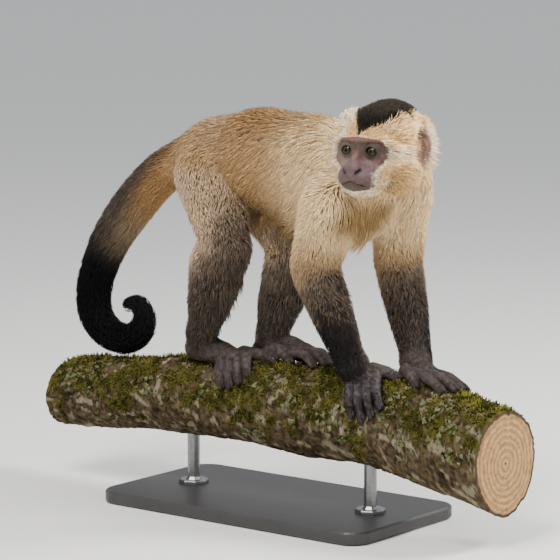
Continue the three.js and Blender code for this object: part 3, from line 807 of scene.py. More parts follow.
def face_edge(q):
    """How far out from the bare face's edge, sideways. q is in the head's frame."""
    side, up = np.abs(q[:, 0]), q[:, 2]
    wide = np.interp(up, (-41, -39, -38, -36, -33, -26, -19, -14, -10, -5, 1, 7, 11, 14, 15, 16.5),
                     (-6, 3, 12.5, 17, 20, 21.5, 21, 22.5, 28, 31.5, 32, 30.5, 26, 21, 10, -6))
    wide += 4 * smooth(0, -8, q[:, 0]) * smooth(-20, -13, up) * smooth(-3, -10, up)
    return side - wide + 0.9 * wave(q, 5, 1) + 0.9 * wave(q, 3, 4)


def bare_share(q):
    """1 on the bare face, 0 in the fur."""
    return smooth(2.4, -2.0, face_edge(q)) * smooth(12, 20, q[:, 1])


def ear_share(q):
    """1 on the ear's own skin, 0 elsewhere. q is in the head's frame."""
    return smooth(1.6, 0.4, ear_field(q))


def tail_place(p):
    """Each point's share of the way along the tail, the tail's middle there, and the way into its curl."""
    best, share = np.full(len(p), BIG * BIG), np.zeros(len(p))
    for i in range(len(tail_line) - 1):
        a, b = tail_line[i, :3], tail_line[i + 1, :3]
        ab = b - a
        t = np.clip((p - a) @ ab / (ab @ ab), 0, 1)
        d = p - a - col(t) * ab
        d = dot(d, d)
        closer = d < best
        best[closer] = d[closer]
        share[closer] = mix(tail_share[i], tail_share[i + 1], t[closer])
    middle = np.stack([np.interp(share, tail_share, tail_line[:, i]) for i in range(3)], 1)
    slopes = [np.gradient(tail_line[:, i], tail_share) for i in range(3)]
    along = unit(np.stack([np.interp(share, tail_share, slopes[i]) for i in range(3)], 1))
    inward = np.stack([-along[:, 2], np.zeros(len(p)), along[:, 0]], 1)
    return share, middle, inward


def region_weights(f, blend):
    """Each region's share in each point, from the regions' fields."""
    weight = np.exp(-(f - f.min(1, keepdims=True)) / blend)
    return weight / weight.sum(1, keepdims=True)


def off_limb(p, limbs, split):
    """How far a point lies in front of its limb's middle, and how far on the limb's inner side."""
    left = p[:, 1] > split
    middles = []
    for axis in (0, 1):
        made = []
        for side in ("right", "left"):
            joints = limb_points(limbs[side])[::-1]
            made.append(np.interp(p[:, 2], [j[2] for j in joints], [j[axis] for j in joints]))
        middles.append(np.where(left, made[1], made[0]))
    return p[:, 0] - middles[0], (p[:, 1] - middles[1]) * np.where(left, -1, 1)


def coat_markings(p, f=None):
    """The colour of the coat at each point, from its place alone."""
    f = region_fields(p) if f is None else f
    weight = region_weights(f, 9)
    x, y, z = p.T
    fine = wave(p, 9, 3)
    # trunk
    height = (z - 378) / 60 + 0.10 * fine
    centre = np.interp(x, (-94, -18, 70, 122), (20, 8, -14, -24))
    ridge = smooth(np.interp(x, (0, 90), (0.35, 0.65)), 1.0, height) * smooth(60, 20, np.abs(y - centre))
    trunk = mix(FLANK, BELLY, col(smooth(-0.2, -0.8, height)))
    trunk = mix(trunk, THIGH, col(0.6 * smooth(-30, -90, x)))
    trunk = mix(trunk, CREAM, col(0.95 * smooth(0, 100, x + 9 * fine + 0.2 * (z - 350))))
    trunk = mix(trunk, BACK, col(0.85 * ridge * smooth(190, 120, x) * smooth(-110, 5, x)))
    # arms and legs darken downwards, first along their front
    front, inner = off_limb(p, ARMS, -10)
    arm_front = np.clip(front / 22, -1, 1)
    down = z + 7 * fine + 4 * smooth(-6, 8, inner)
    arm = mix(CREAM, FLANK, col(0.8 * smooth(330, 285, down)))
    arm = mix(arm, BROWN, col(smooth(300 + 8 * arm_front, 254 + 14 * arm_front, down)))
    arm = mix(arm, DUSK, col(smooth(270 + 14 * arm_front, 226 + 18 * arm_front, down)))
    arm = mix(arm, BLACK, col(mix(0.85, 0.1, smooth(-6, 8, inner)) * smooth(262, 198, down)))
    front, inner = off_limb(p, LEGS, 6)
    leg_front = np.clip(front / 26, -1, 1)
    down = z + 8 * fine + 17 * smooth(-6, 8, inner)
    leg = mix(FLANK, THIGH, col(smooth(385, 360, z)))
    leg = mix(leg, BROWN, col(smooth(326 + 36 * leg_front, 278 + 30 * leg_front, down)))
    leg = mix(leg, DUSK, col(smooth(300 + 34 * leg_front, 238 + 28 * leg_front, down)))
    leg = mix(leg, BLACK, col(0.15 * smooth(235, 190, down)))
    # tail, darker outside its curve
    share, middle, inward = tail_place(p)
    inside = dot(unit(p - middle), inward) + 0.15 * fine
    edge = np.interp(share, (0, 0.06, 0.2, 0.36, 0.45, 0.52), (-1.2, -0.5, 0.05, 0.5, 0.8, 1.4))
    outer = mix(BACK, DUSK, col(smooth(0.0, 0.22, share)))
    inner = mix(FLANK, GOLD, col(smooth(0.04, 0.16, share)))
    inner = mix(inner, GRIZZLE, col(smooth(0.22, 0.42, share)))
    tail = mix(inner, outer, col(smooth(edge + 0.7, edge - 0.7, inside)))
    tail = mix(tail, BLACK, col(smooth(0.36, 0.54, share + 0.02 * fine)))
    # head
    q = head_frame(p)
    side, edge = np.abs(q[:, 0]), face_edge(q)
    head = mix(HONEY, CREAM, col(0.8 * smooth(-0.4, 0.5, wave(p, 16, 7))))
    head = mix(head, CHEEK, col(0.8 * smooth(-10, -32, q[:, 2]) * smooth(2, 10, edge)))
    band = np.interp(q[:, 2], (-30, -6), (4.5, 10))
    pale = smooth(band, 0.2 * band, edge) * smooth(14, 6, q[:, 2]) * smooth(8, 24, q[:, 1])
    chin = smooth(-36, -38.5, q[:, 2]) * smooth(-47, -42, q[:, 2])
    chin = chin * smooth(28, 20, side) * smooth(22, 32, q[:, 1])
    pale = np.maximum(pale, 0.9 * chin)
    pale = np.maximum(pale, 0.8 * smooth(-10, -24, q[:, 0]) * smooth(0, 14, q[:, 1]))
    pale = np.maximum(pale, smooth(-8, -16, q[:, 1]) * smooth(20, 30, side) * smooth(27, 17, q[:, 2]))
    head = mix(head, WHITE, col(pale))
    head = mix(head, FLANK, col(smooth(-20, -45, q[:, 1]) * 0.5))
    head = mix(head, CAP, col(cap_share(q)))
    made = weight[:, 0:1] * trunk + weight[:, 1:2] * tail + weight[:, 6:7] * head
    made += (weight[:, 2:3] + weight[:, 3:4]) * arm + (weight[:, 4:5] + weight[:, 5:6]) * leg
    chest = smooth(40, 16, np.abs(y + 50)) * smooth(32, 12, np.abs(z - 341)) * smooth(118, 142, x)
    chest *= 1 - weight[:, 6]
    return mix(made, CHEST, col(0.95 * chest))


def skin_markings(p, depth):
    """The skin's colour: its own where it is bare, and under the coat the coat's, darkened as painted shade,
    the more the deeper the coat.
    """
    f = region_fields(p)
    coat, weight = coat_markings(p, f), region_weights(f, 9)
    q = head_frame(p)
    side, forward, up = np.abs(q[:, 0]), q[:, 1], q[:, 2]
    # Under the coat: painted shade, darker where the coat is deeper.
    under = coat * col(mix(0.9, 0.7, smooth(1, 6, depth)))
    fine = wave(p, 5, 1)
    face = np.tile(FACE, (len(p), 1))
    rosy = np.maximum(smooth(10, 13, up), smooth(-4, -9, up + 2 * fine) * smooth(28, 22, side))
    face = mix(face, ROSE, col(0.8 * np.maximum(rosy, smooth(4, -4, up) * smooth(5, 2, side))))
    low = smooth(-5, -12, up + 2 * fine) * smooth(44, 52, forward)
    face = mix(face, MUZZLE, col(low))
    face = mix(face, MOUTH_SKIN, col(0.8 * smooth(-21, -27, up + 3 * wave(p, 8, 3)) * low))
    face = face * col(1 + 0.16 * wave(p, 3.2, 6) + 0.10 * wave(p, 9, 2))
    # Painted shade in a band along the fold between the brow and the upper lids.
    line = np.interp(side, (0, 11, 20, 30), (6.8, 8.4, 6, 0.5))
    brow = smooth(4.2, 0.8, np.abs(up - line)) * smooth(33, 26, side)
    face = mix(face, SHADE_BROWN, col(0.92 * brow))
    eye = vec(EYE["side"], EYE["forward"], EYE["up"])
    from_eye = np.hypot((side - eye[0]) / 1.3, up - eye[2])
    # Painted shade in a halo round each eye's opening.
    face = mix(face, SHADE_BROWN, col(0.4 * smooth(9, 5.8, from_eye)))
    face = mix(face, LID, col(0.95 * smooth(6.9, 5.3, from_eye)))
    nostril = nostril_field(np.stack([side, forward, up], 1))
    # Painted shade about and inside each nostril's slit.
    face = mix(face, SHADE_BROWN, col(0.5 * smooth(4, 0.5, nostril)))
    face = mix(face, GAP_SHADE, col(smooth(0.9, 0.2, nostril)))
    below = mouth_line(side) - up
    face = mix(face, LIP, col(0.9 * smooth(0, 1.0, below) * smooth(6.0, 3.5, below) * smooth(16, 10, side)))
    # Painted shade in the groove of the mouth's line.
    crease = 0.8 * smooth(0.9, 0.4, np.abs(below)) * smooth(19, 14, side) * smooth(34, 38, forward)
    face = mix(face, GAP_SHADE, col(crease))
    bare = smooth(5.0, -1.0, face_edge(q)) * smooth(12, 20, forward) * weight[:, 6]
    ear = ear_share(q) * weight[:, 6]
    w, u, v = ear_frame(q)
    # Darker towards the ear's top, and painted shade deeper in its bowl.
    inner = mix(EAR_SKIN, EAR_DARK, col(0.8 * smooth(6, 11, v + 0.3 * u) + 0.35 * smooth(0.5, -3.5, w)))
    paw = mix(PAW, PAW_DARK, col(smooth(-0.4, 0.6, fine)))
    made = mix(under, face, col(bare))
    made = mix(made, inner, col(ear))
    hands = paw_share(p)
    return mix(made, paw, col(hands))


def paw_share(p):
    """1 on the hands and feet past the wrist or ankle, 0 above it."""
    made = np.full(len(p), BIG)
    for name in PAWS:
        palm = palm_points[name][1:]
        lines = [line for line, _ in digit_sets[name]]
        low, high = paw_boxes[name]
        made = np.minimum(made, boxed(p, low, high, 10, lambda s, c=palm, d=lines: np.minimum.reduce(
            [chain(s, c, [12] * len(c)), *(chain(s, line, [6] * 3) for line in d)])))
    return smooth(9, 1, made)


# ---------------------------------------------------------------- how the coat lies
def bones(region):
    """The bars that the coat of the tail or of one limb follows: two ends, two radii."""
    if region == 1:
        return [(a[:3], b[:3], a[3], b[3]) for a, b in zip(tail_line, tail_line[1:])]
    kind, side = LIMBS[region - 2]
    joints = limb_joints(kind, side)
    radii = ARM_RADII if kind == "arm" else LEG_RADII
    points = limb_points(joints)
    made = list(zip(points, points[1:], radii, radii[1:]))
    paw = paw_name(kind, side)
    palm = list(zip(palm_points[paw], [r for *_, r in PAWS[paw]["palm"]]))
    palm = palm if kind == "arm" else palm[1:]
    made += [(a, b, ra, rb) for (a, ra), (b, rb) in zip(palm, palm[1:])]
    for line, radii in digit_sets[paw]:
        made += list(zip(line, line[1:], radii, radii[1:]))
    return made


def lie(p, n, f):
    """The way the coat lies at each point of the skin, before it is flattened to the surface."""
    weight = region_weights(f, 10)
    side = np.abs(n[:, 1])
    x, one = p[:, 0], np.ones(len(p))
    trunk = np.stack([-one, 0.15 * n[:, 1], -0.15 - mix(0.75, 1.5, smooth(40, 120, x)) * side], 1)
    front = smooth(0.2, 0.8, n[:, 0]) * smooth(90, 120, x)
    trunk = mix(trunk, vec(-0.3, 0, -1.0), col(front))
    trunk = mix(trunk, vec(-0.5, 0, -1.0), col(0.5 * smooth(-90, -125, x)))
    made = weight[:, 0:1] * trunk
    for region in range(1, 6):
        near = f[:, region] < 20
        s = p[near]
        limb = np.zeros((len(s), 3))
        for a, b, ra, rb in bones(region):
            w = np.exp(-np.clip(bar(s, a, b, ra, rb), -30, 200) / (5 + 0.25 * min(ra, rb)))
            limb += col(w) * unit(b - a)
        made[near] += weight[near, region][:, None] * unit(limb)
    q = head_frame(p)
    away = q - vec(0, 64, -8)
    away[:, 0] *= 1.5
    away[:, 2] *= mix(1.0, 1.25, smooth(0, 30, np.abs(q[:, 0])))
    away = unit(away)
    away[:, 1] -= 0.5 + 0.9 * smooth(8, 32, q[:, 2])
    away[:, 2] -= 0.45 * smooth(10, 35, np.abs(q[:, 0])) * smooth(25, -5, q[:, 2])
    head = np.stack([away[:, 0], -away[:, 1], away[:, 2]], 1)
    head[:, 0] -= 0.5 * smooth(10, -30, q[:, 1])
    return made + weight[:, 6:7] * unit(head)


def fringe(q):
    """1 where the head's hair stands off it, behind the ears and beside the face, in the head's frame."""
    side = np.abs(q[:, 0])
    behind = smooth(-12, -17, q[:, 1]) * smooth(-38, -30, q[:, 1]) * smooth(18, 26, side)
    behind *= smooth(-30, -18, q[:, 2]) * smooth(40, 30, q[:, 2])
    ruff = smooth(11, 5, face_edge(q)) * smooth(22, 26, side)
    ruff = ruff * smooth(20, 26, q[:, 1]) * smooth(-20, -12, q[:, 2])
    return np.maximum(behind, 0.85 * ruff * smooth(36, 26, q[:, 2]))


def flatten(d, n):
    return unit(d - col(dot(d, n)) * n)


def turned(d, n, angle):
    """d turned about n by an angle in radians."""
    return d * col(np.cos(angle)) + np.cross(n, d) * col(np.sin(angle))


def unwrap(p, f):
    """A place on a flat atlas of the skin: one tile for each region, wound round its own axis."""
    region = f.argmin(1)
    uv = np.zeros((len(p), 2))
    tiles = [(0.02, 0.02, 0.44, 0.44), (0.52, 0.02, 0.44, 0.44), (0.02, 0.52, 0.21, 0.44),
             (0.27, 0.52, 0.21, 0.44), (0.52, 0.52, 0.21, 0.21), (0.77, 0.52, 0.21, 0.21),
             (0.52, 0.77, 0.44, 0.21)]
    for i in range(7):
        m = region == i
        s = p[m]
        if i == 0:
            around = np.arctan2(s[:, 1] - np.interp(s[:, 0], (-94, 122), (20, -24)), s[:, 2] - 372)
            along = (s[:, 0] + 150) / 370
        elif i == 1:
            along, middle, inward = tail_place(s)
            around = np.arctan2(s[:, 1] - middle[:, 1], dot(s - middle, inward))
        elif i == 6:
            q = head_frame(s)
            around = np.arctan2(q[:, 0], -q[:, 1])
            along = np.arccos(np.clip(q[:, 2] / (np.linalg.norm(q, axis=1) + 1e-9), -1, 1)) / math.pi
        else:
            kind, side = LIMBS[i - 2]
            joints = limb_points(limb_joints(kind, side))
            z = s[:, 2]
            levels = np.array([j[2] for j in joints])[::-1]
            centre = [np.interp(z, levels, np.array([j[k] for j in joints])[::-1]) for k in (0, 1)]
            around = np.arctan2(s[:, 1] - centre[1], s[:, 0] - centre[0])
            along = (z - 110) / 300
        x, y, w, h = tiles[i]
        uv[m, 0] = x + w * (around / (2 * math.pi) + 0.5)
        uv[m, 1] = y + h * np.clip(along, 0, 1)
    return uv


def scatter(points, triangles, density, count):
    """Random places on a mesh, with more where the density of its vertices is higher."""
    a, b, c = (points[triangles[:, i]] for i in range(3))
    area = np.linalg.norm(np.cross(b - a, c - a), axis=1) / 2 * density[triangles].mean(1)
    total = np.cumsum(area)
    pick = np.searchsorted(total, (np.arange(count) + rng.random(count)) / count * total[-1])
    pick = np.minimum(pick, len(triangles) - 1)
    u, v = rng.random(count), rng.random(count)
    flip = u + v > 1
    u[flip], v[flip] = 1 - u[flip], 1 - v[flip]
    return a[pick] + col(u) * (b - a)[pick] + col(v) * (c - a)[pick]


def lock_mesh(name, path, across, above, width, colours, uv, material):
    """Many tapering locks as one mesh. path: (n, 3, 3), root, middle and tip. across and above: the ways of
    the width and thickness at the first two."""
    n = len(path)
    rings = []
    for k, shape in enumerate((1.0, 0.9)):
        w, t = col(width * shape * 0.5), col(width * shape * 0.3)
        middle, aside, lift = path[:, k], across[:, k] * w, above[:, k] * t
        rings += [middle - aside - lift * 0.5, middle + aside - lift * 0.5, middle + lift]
    points = np.stack([*rings, path[:, 2]], 1)
    faces = [(2, 1, 0), (3, 4, 6), (4, 5, 6), (5, 3, 6)]
    for i in range(3):
        j = (i + 1) % 3
        faces += [(i, j, 3 + j), (i, 3 + j, 3 + i)]
    all_faces = (np.array(faces)[None] + 7 * np.arange(n)[:, None, None]).reshape(-1, 3)
    made = mesh_object(name, points.reshape(-1, 3), all_faces, material)
    paint(made, np.repeat(colours, [3, 3, 1], axis=1).reshape(-1, 3))
    patch = np.array([(-1, -1), (1, -1), (0, -0.7), (-0.8, 0.1), (0.8, 0.1), (0, 0.4), (0, 1)]) * 0.0015
    layer = made.data.uv_layers.new(name="OFBake")
    corner = (uv[:, None] + patch[None]).reshape(-1, 2)[all_faces.ravel()]
    layer.data.foreach_set("uv", corner.astype(np.float32).ravel())
    return made


def grow(points, triangles, material):
    """The coat: locks that leave the skin, rise to the coat's depth and lie along the body."""
    q = head_frame(points)
    hands = paw_share(points)
    region = region_fields(points).argmin(1)
    on_head, on_tail = region == 6, region == 1
    bare = bare_share(q) * on_head
    ear = ear_share(q) * on_head
    density = 1 + 1.3 * on_head + 0.4 * on_tail + 1.4 * smooth(0.2, 0.8, hands)
    density = density * (1 - 0.99 * bare) * (1 - 0.97 * ear)
    density *= 1 - 0.6 * smooth(6, 0, face_edge(q)) * smooth(14, 22, q[:, 1]) * on_head
    count = LOCKS
    p = scatter(points, triangles, density, count)
    f = region_fields(p)
    _, n = slope(body_field, p)
    n = unit(n)
    thick = np.clip(-body_field(p, True), 0.5, 15)
    weight = region_weights(f, 9)
    on_head = smooth(0.4, 0.8, weight[:, 6])
    q = head_frame(p)
    stand = fringe(q) * on_head
    bare = bare_share(q) * on_head
    hand = paw_share(p)
    thick = np.where(hand > 0.5, np.minimum(thick, 1.6), thick)
    thick = np.minimum(thick, mix(16, 7.5, weight[:, 2:6].sum(1)))
    before_ear = smooth(22, 10, np.hypot(ear_frame(q)[1] - 8, ear_frame(q)[2])) * on_head * (1 - stand)
    over_brow = smooth(32, 17, q[:, 2]) * smooth(36, 28, np.abs(q[:, 0])) * smooth(26, 34, q[:, 1]) * on_head
    thick *= (1 - 0.75 * before_ear) * (1 - 0.5 * over_brow)
    thick = np.maximum(thick, np.maximum(2.2 * (1 - bare) * on_head, 9.5 * stand))
    length = (3.0 + 1.5 * thick) * rng.uniform(0.7, 1.2, count) * mix(1.0, 0.75, hand)
    length *= mix(1.0, 0.8, on_head + weight[:, 2:6].sum(1)) * (1 - 0.65 * before_ear)
    length = mix(length, 2.2, bare)
    way = lie(p, n, f)
    colour = coat_markings(p + flatten(way, n) * col(0.55 * length))  # by where the lock shows
    back, up = 0.2 * smooth(10, -10, q[:, 1]) - 0.05, np.clip((q[:, 2] - 6) / 40, -0.5, 0.6)
    away = np.stack([np.sign(q[:, 0]), back, up], 1)
    way = mix(way, away, col(0.85 * stand))
    bend = 0.14 * wave(p, 26, 5) + 0.08 * wave(p, 9, 8) + rng.normal(0, 0.09, count) * (1 + 1.4 * on_head)
    rise = rng.uniform(0.66, 1.08, count) + 0.25 * (rng.random(count) < 0.04) + 0.08 * on_head
    path, across, above = [p - n * 0.4], [], []
    here, normal = p, n
    for k, (far, high) in enumerate(((0.42, 0.72), (0.58, 1.0))):
        d = turned(flatten(way, normal), normal, bend * (1 + k))
        across.append(np.cross(d, normal))
        above.append(normal)
        d = unit(mix(d, unit(way), col(stand)))
        here = here + d * col(length * far)
        value, normal = slope(body_field, here)
        normal = unit(normal)
        here = here + normal * col((high * rise * thick - value) * (1 - stand))
        path.append(here)
    # Only the fringe passes the coat's outline by more than a little.
    past = np.clip(body_field(here, True) - 1.2, 0, 6) * (1 - stand)
    path[2] = here - normal * col(past)
    path, across, above = (np.stack(s, 1) for s in (path, across, above))
    # Neighbouring tips draw together into tufts.
    shift = 0.5 * np.stack([wave(p, 15, s) for s in (1, 2, 3)], 1)
    cell = np.floor(p / (3.4 + 0.28 * col(thick)) + shift).astype(int)
    _, key = np.unique(cell @ np.array([1, 4096, 4096**2]), return_inverse=True)
    key = key.ravel()
    number = np.bincount(key)
    pull = 0.22 * smooth(1.5, 6, thick)
    for k, share in ((1, 0.35), (2, 1.0)):
        middle = np.stack([np.bincount(key, path[:, k, i]) for i in range(3)], 1) / col(number)
        path[:, k] += (middle[key] - path[:, k]) * col(pull * share)
    width = np.interp(thick, (0.5, 2.5, 7, 12), (0.42, 0.75, 1.1, 1.3)) * rng.uniform(0.75, 1.25, count)
    width *= mix(1.0, 0.85, on_head) * mix(1.0, 0.6, bare)
    tones = hair_tones(p, n, colour, weight, thick, bare, on_head)
    uv = unwrap(p, f)
    for name, slot, chosen in coat_groups(p, f):
        rows = np.flatnonzero(chosen)
        parts = max(1, math.ceil(len(rows) / LOCKS_IN_A_PIECE))
        for part, part_rows in enumerate(np.array_split(rows, parts)):
            lock_mesh(f"coat_{name}_{part + 1}", path[part_rows], across[part_rows], above[part_rows],
                      width[part_rows], tones[part_rows], uv[part_rows], material)


def hair_tones(p, n, colour, weight, thick, bare, on_head):
    """Each lock's colour at its root, middle and tip."""
    count = len(p)
    shade = np.exp(rng.normal(0, 0.15, count) * (1 + 0.4 * on_head) + 0.10 * wave(p, 8, 4))
    # Roots darker, the more where the coat is deep and on the head: painted shade between the locks. Tips a
    # little lighter.
    root = mix(0.92, 0.78, smooth(2, 8, thick)) * (1 - 0.25 * on_head)
    tones = np.stack([colour * col(root), colour * 0.95, colour * 1.14], 1) * shade[:, None, None]
    # Along the back the hairs are banded, dark with gold tips.
    ridge = weight[:, 0] * smooth(0.3, 0.8, n[:, 2]) * smooth(130, 80, p[:, 0])
    fleck = rng.random(count) < 0.35 * ridge
    tones[fleck, 1:] = mix(tones[fleck, 1:], GOLD * 1.4, 0.6)
    tones[rng.random(count) < 0.3 * ridge] *= 0.6
    # Dark limbs and the tail's upper part are grizzled with paler tips.
    limb = weight[:, 1:6].sum(1) * smooth(0.025, 0.05, colour.max(1)) * smooth(0.3, 0.12, colour.max(1))
    pale = rng.random(count) < 0.30 * limb
    tones[pale, 1] = mix(tones[pale, 1], GRIZZLE, 0.2)
    tones[pale, 2] = mix(tones[pale, 2], GRIZZLE, 0.6)
    # A few pale hairs on the bare face.
    return mix(tones, WHITE * 0.3, (0.7 * bare)[:, None, None])


def coat_groups(p, f):
    region = f.argmin(1)
    share = tail_place(p)[0]
    return [
        ("trunk_rear", "coat_tan", (region == 0) & (p[:, 0] < -20)),
        ("trunk_middle", "coat_tan", (region == 0) & (p[:, 0] >= -20) & (p[:, 0] < 70)),
        ("shoulders", "coat_cream", (region == 0) & (p[:, 0] >= 70)),
        ("tail", "coat_dark", (region == 1) & (share < 0.42)),
        ("tail_tip", "coat_black", (region == 1) & (share >= 0.42)),
        ("arm_right", "coat_dark", region == 2),
        ("arm_left", "coat_dark", region == 3),
        ("leg_right", "coat_dark", region == 4),
        ("leg_left", "coat_dark", region == 5),
        ("head", "coat_cream", region == 6),
    ]


# ---------------------------------------------------------------- the pieces of the body
def add_skin():
    step = SKIN_STEP
    low, high = vec(-308, -112, 124), vec(250, 96, 474)
    values = field_grid(body_field, low, high, step)
    points, quads = surface_net(values, low, step)
    # Away from the head, hands and feet, near vertices are drawn together.
    q = head_frame(points)
    fine = (np.abs(q).max(1) < 62) | (paw_share(points) > 0.02)
    cell = np.floor((points - low) / (step * 2.4)).astype(np.int64)
    key = cell @ np.array([1, 2048, 2048**2])
    key[fine] = -1 - np.arange(fine.sum())
    _, new = np.unique(key, return_inverse=True)
    new = new.ravel()
    number = np.bincount(new)
    points = np.stack([np.bincount(new, points[:, i]) for i in range(3)], 1) / col(number)
    triangles = np.vstack([quads[:, [0, 1, 2]], quads[:, [0, 2, 3]]])
    triangles = new[triangles]
    a, b, c = triangles.T
    triangles = triangles[(a != b) & (b != c) & (c != a)]
    _, once = np.unique(np.sort(triangles, 1) @ np.array([1, 2**21, 2**42]), return_index=True)
    triangles = triangles[once]
    points = settle(points, body_field)
    centre = head_frame(points[triangles].mean(1))
    face = (np.abs(centre[:, 0]) < 34) & (centre[:, 1] > 24) & (np.abs(centre[:, 2] + 12) < 38)
    points, triangles = halve(points, triangles, face)
    points = settle(points, body_field)
    depth = -body_field(points, True)
    material = skin_material()
    made = mesh_object("skin", points, triangles, material)
    paint(made, skin_markings(points, depth))
    nodes = ["trunk", "neck", "head", "ear_right", "ear_left", *(f"tail_{i}" for i in range(1, 6))]
    nodes += [f"{part}_{side}" for side in ("right", "left")
              for part in ("upper_arm", "forearm", "hand", "thigh", "shank", "foot")]
    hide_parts(*nodes)
    return points, triangles


def halve(points, triangles, chosen):
    """Cuts the chosen triangles in four at their edges' middles, and their neighbours so that they meet."""
    edges = np.sort(np.vstack([triangles[:, [0, 1]], triangles[:, [1, 2]], triangles[:, [2, 0]]]), 1)
    codes, inverse = np.unique(edges @ np.array([1, 2**31]), return_inverse=True)
    inverse = inverse.ravel()
    unique = np.stack([codes % 2**31, codes // 2**31], 1)
    cut = np.zeros(len(unique), bool)
    cut[inverse[np.tile(chosen, 3)]] = True
    number = np.full(len(unique), -1, np.int64)
    number[cut] = len(points) + np.arange(cut.sum())
    points = np.vstack([points, points[unique[cut]].mean(1)])
    m = number[inverse].reshape(3, -1).T
    made = [triangles[(m < 0).all(1)]]
    for pattern in range(1, 8):
        hit = [(pattern >> i) & 1 for i in range(3)]
        rows = np.flatnonzero(((m >= 0) == np.array(hit, bool)).all(1))
        if not len(rows):
            continue
        turn = {1: 0, 2: 1, 4: 2, 3: 0, 6: 1, 5: 2, 7: 0}[pattern]
        v = np.roll(triangles[rows], -turn, 1)
        e = np.roll(m[rows], -turn, 1)
        a, b, c = v.T
        ab, bc, ca = e.T
        if sum(hit) == 1:
            parts = [(a, ab, c), (ab, b, c)]
        elif sum(hit) == 2:
            parts = [(a, ab, c), (ab, bc, c), (ab, b, bc)]
        else:
            parts = [(a, ab, ca), (ab, b, bc), (ca, bc, c), (ab, bc, ca)]
        made += [np.stack(part, 1) for part in parts]
    return points, np.vstack(made)


def eye_material():
    return marked_material(
        "eye", (900, 3), (0.75, 0.75, 0.75), (1.2, 1.2, 1.2), roughness=0.05, specular=0.22)[0]


def add_eyes():
    material = eye_material()
    rings, around = 40, 64
    for side, name in ((-1, "right"), (1, "left")):
        gaze = unit(vec(0.02, 1, -0.03))
        right = unit(np.cross(gaze, vec(0, 0, 1)))
        top = np.cross(right, gaze)
        middle = vec(side * EYE["side"], EYE["forward"], EYE["up"])
        points, tints = [], []
        for i in range(rings + 1):
            angle = math.pi * i / rings
            bulge = 0.7 * float(smooth(0.62, 0.30, angle))
            for j in range(around):
                turn = 2 * math.pi * j / around
                out = right * math.cos(turn) + top * math.sin(turn)
                way = gaze * math.cos(angle) + math.sin(angle) * out
                points.append(middle + way * EYE["radius"] + gaze * bulge)
                tone = mix(rgb(3, 3, 3), rgb(58, 45, 28), float(smooth(0.18, 0.23, angle)))
                tone = mix(tone, rgb(34, 25, 16), float(smooth(0.33, 0.44, angle)))
                tone = mix(tone, rgb(7, 5, 5), float(smooth(0.45, 0.51, angle)))
                tone = mix(tone, rgb(26, 18, 16), float(smooth(0.68, 0.76, angle)))
                tints.append(tone)
        points = np.array(points)
        points = np.stack([points[:, 0], -points[:, 1], points[:, 2]], 1) + HEAD
        made = mesh_object(f"eyeball_{name}", points, ring_quads(rings, around), material)
        paint(made, np.array(tints))
        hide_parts(f"eye_{name}")


def add_nails():
    material = simple_material("nail", rgb(32, 28, 28), rgb(58, 51, 50), 260, 0.6, specular=0.1)
    points, faces = [], []
    for sets in digit_sets.values():
        for line, radii in sets:
            tip, way = line[-1], unit(line[-1] - line[-2])
            down = unit(vec(0, tip[1], tip[2] - branch_height(tip[0])))
            up = unit(down - way * (down @ way))
            across = np.cross(way, up)
            r = radii[-1]
            start = len(points)
            for i in range(7):
                t = i / 6
                half = 0.66 * r * (1 - 0.45 * t**3)
                for j in range(7):
                    s = j / 3 - 1
                    place = tip + way * (-0.55 * r + 1.95 * r * t) + across * half * s
                    place = place + up * (r * (1.02 - 0.32 * s * s - 0.42 * t**2) + 0.25)
                    points.append(place)
            for i in range(6):
                for j in range(6):
                    a = start + i * 7 + j
                    faces.append((a, a + 1, a + 8, a + 7))
    made = mesh_object("nails", np.array(points), np.array(faces), material)
    modifier = made.modifiers.new("thickness", "SOLIDIFY")
    modifier.thickness = 0.0008
    modifier.offset = -1


# ---------------------------------------------------------------- the branch and the stand
def on_bark(x, turn):
    """Where the bark's patterns are worked out: on the branch made straight."""
    return np.stack([x, 46 * np.sin(turn), 46 * np.cos(turn)], 1)


def bark_relief(x, turn):
    """How far the bark stands out from the branch's round, in mm."""
    made = 1.3 * np.sin(x / 24 + 2 * turn) + 1.1 * np.sin(3 * turn - x / 37)
    p = on_bark(x, turn)
    plates = tangle(p * vec(0.45, 1, 1), 11, 2)
    cracks = np.abs(tangle(p * vec(0.4, 1, 1), 8, 6))
    return made + 1.0 * plates - 1.6 * smooth(0.14, 0.0, cracks) + 0.5 * tangle(p, 4, 4)


def branch_points(x, turn, lift):
    """x in mm, turn in radians."""
    r = branch_radius(x) + bark_relief(x, turn) + lift
    return np.stack([x, -r * np.sin(turn), branch_height(x) + r * np.cos(turn)], 1)


def moss_share(x, turn):
    p = on_bark(x, turn)
    made = 0.5 * tangle(p, 46, 1) + 0.4 * tangle(p, 18, 3) + 0.25 * tangle(p, 7, 7) + 0.5 * np.cos(turn - 0.2)
    return smooth(0.02, 0.36, made)


def bark_material():
    material, nodes, links, shader, _ = marked_material(
        "bark", (140, 8, 0.7), (0.6, 0.6, 0.6), (1.3, 1.3, 1.3), roughness=0.9, specular=0.12)
    first = bump(nodes, links, noise(nodes, links, 90, 8, 0.7), 0.5, 0.003, shader)
    bump(nodes, links, noise(nodes, links, 420, 6, 0.75), 0.5, 0.0012, shader, first)
    return material


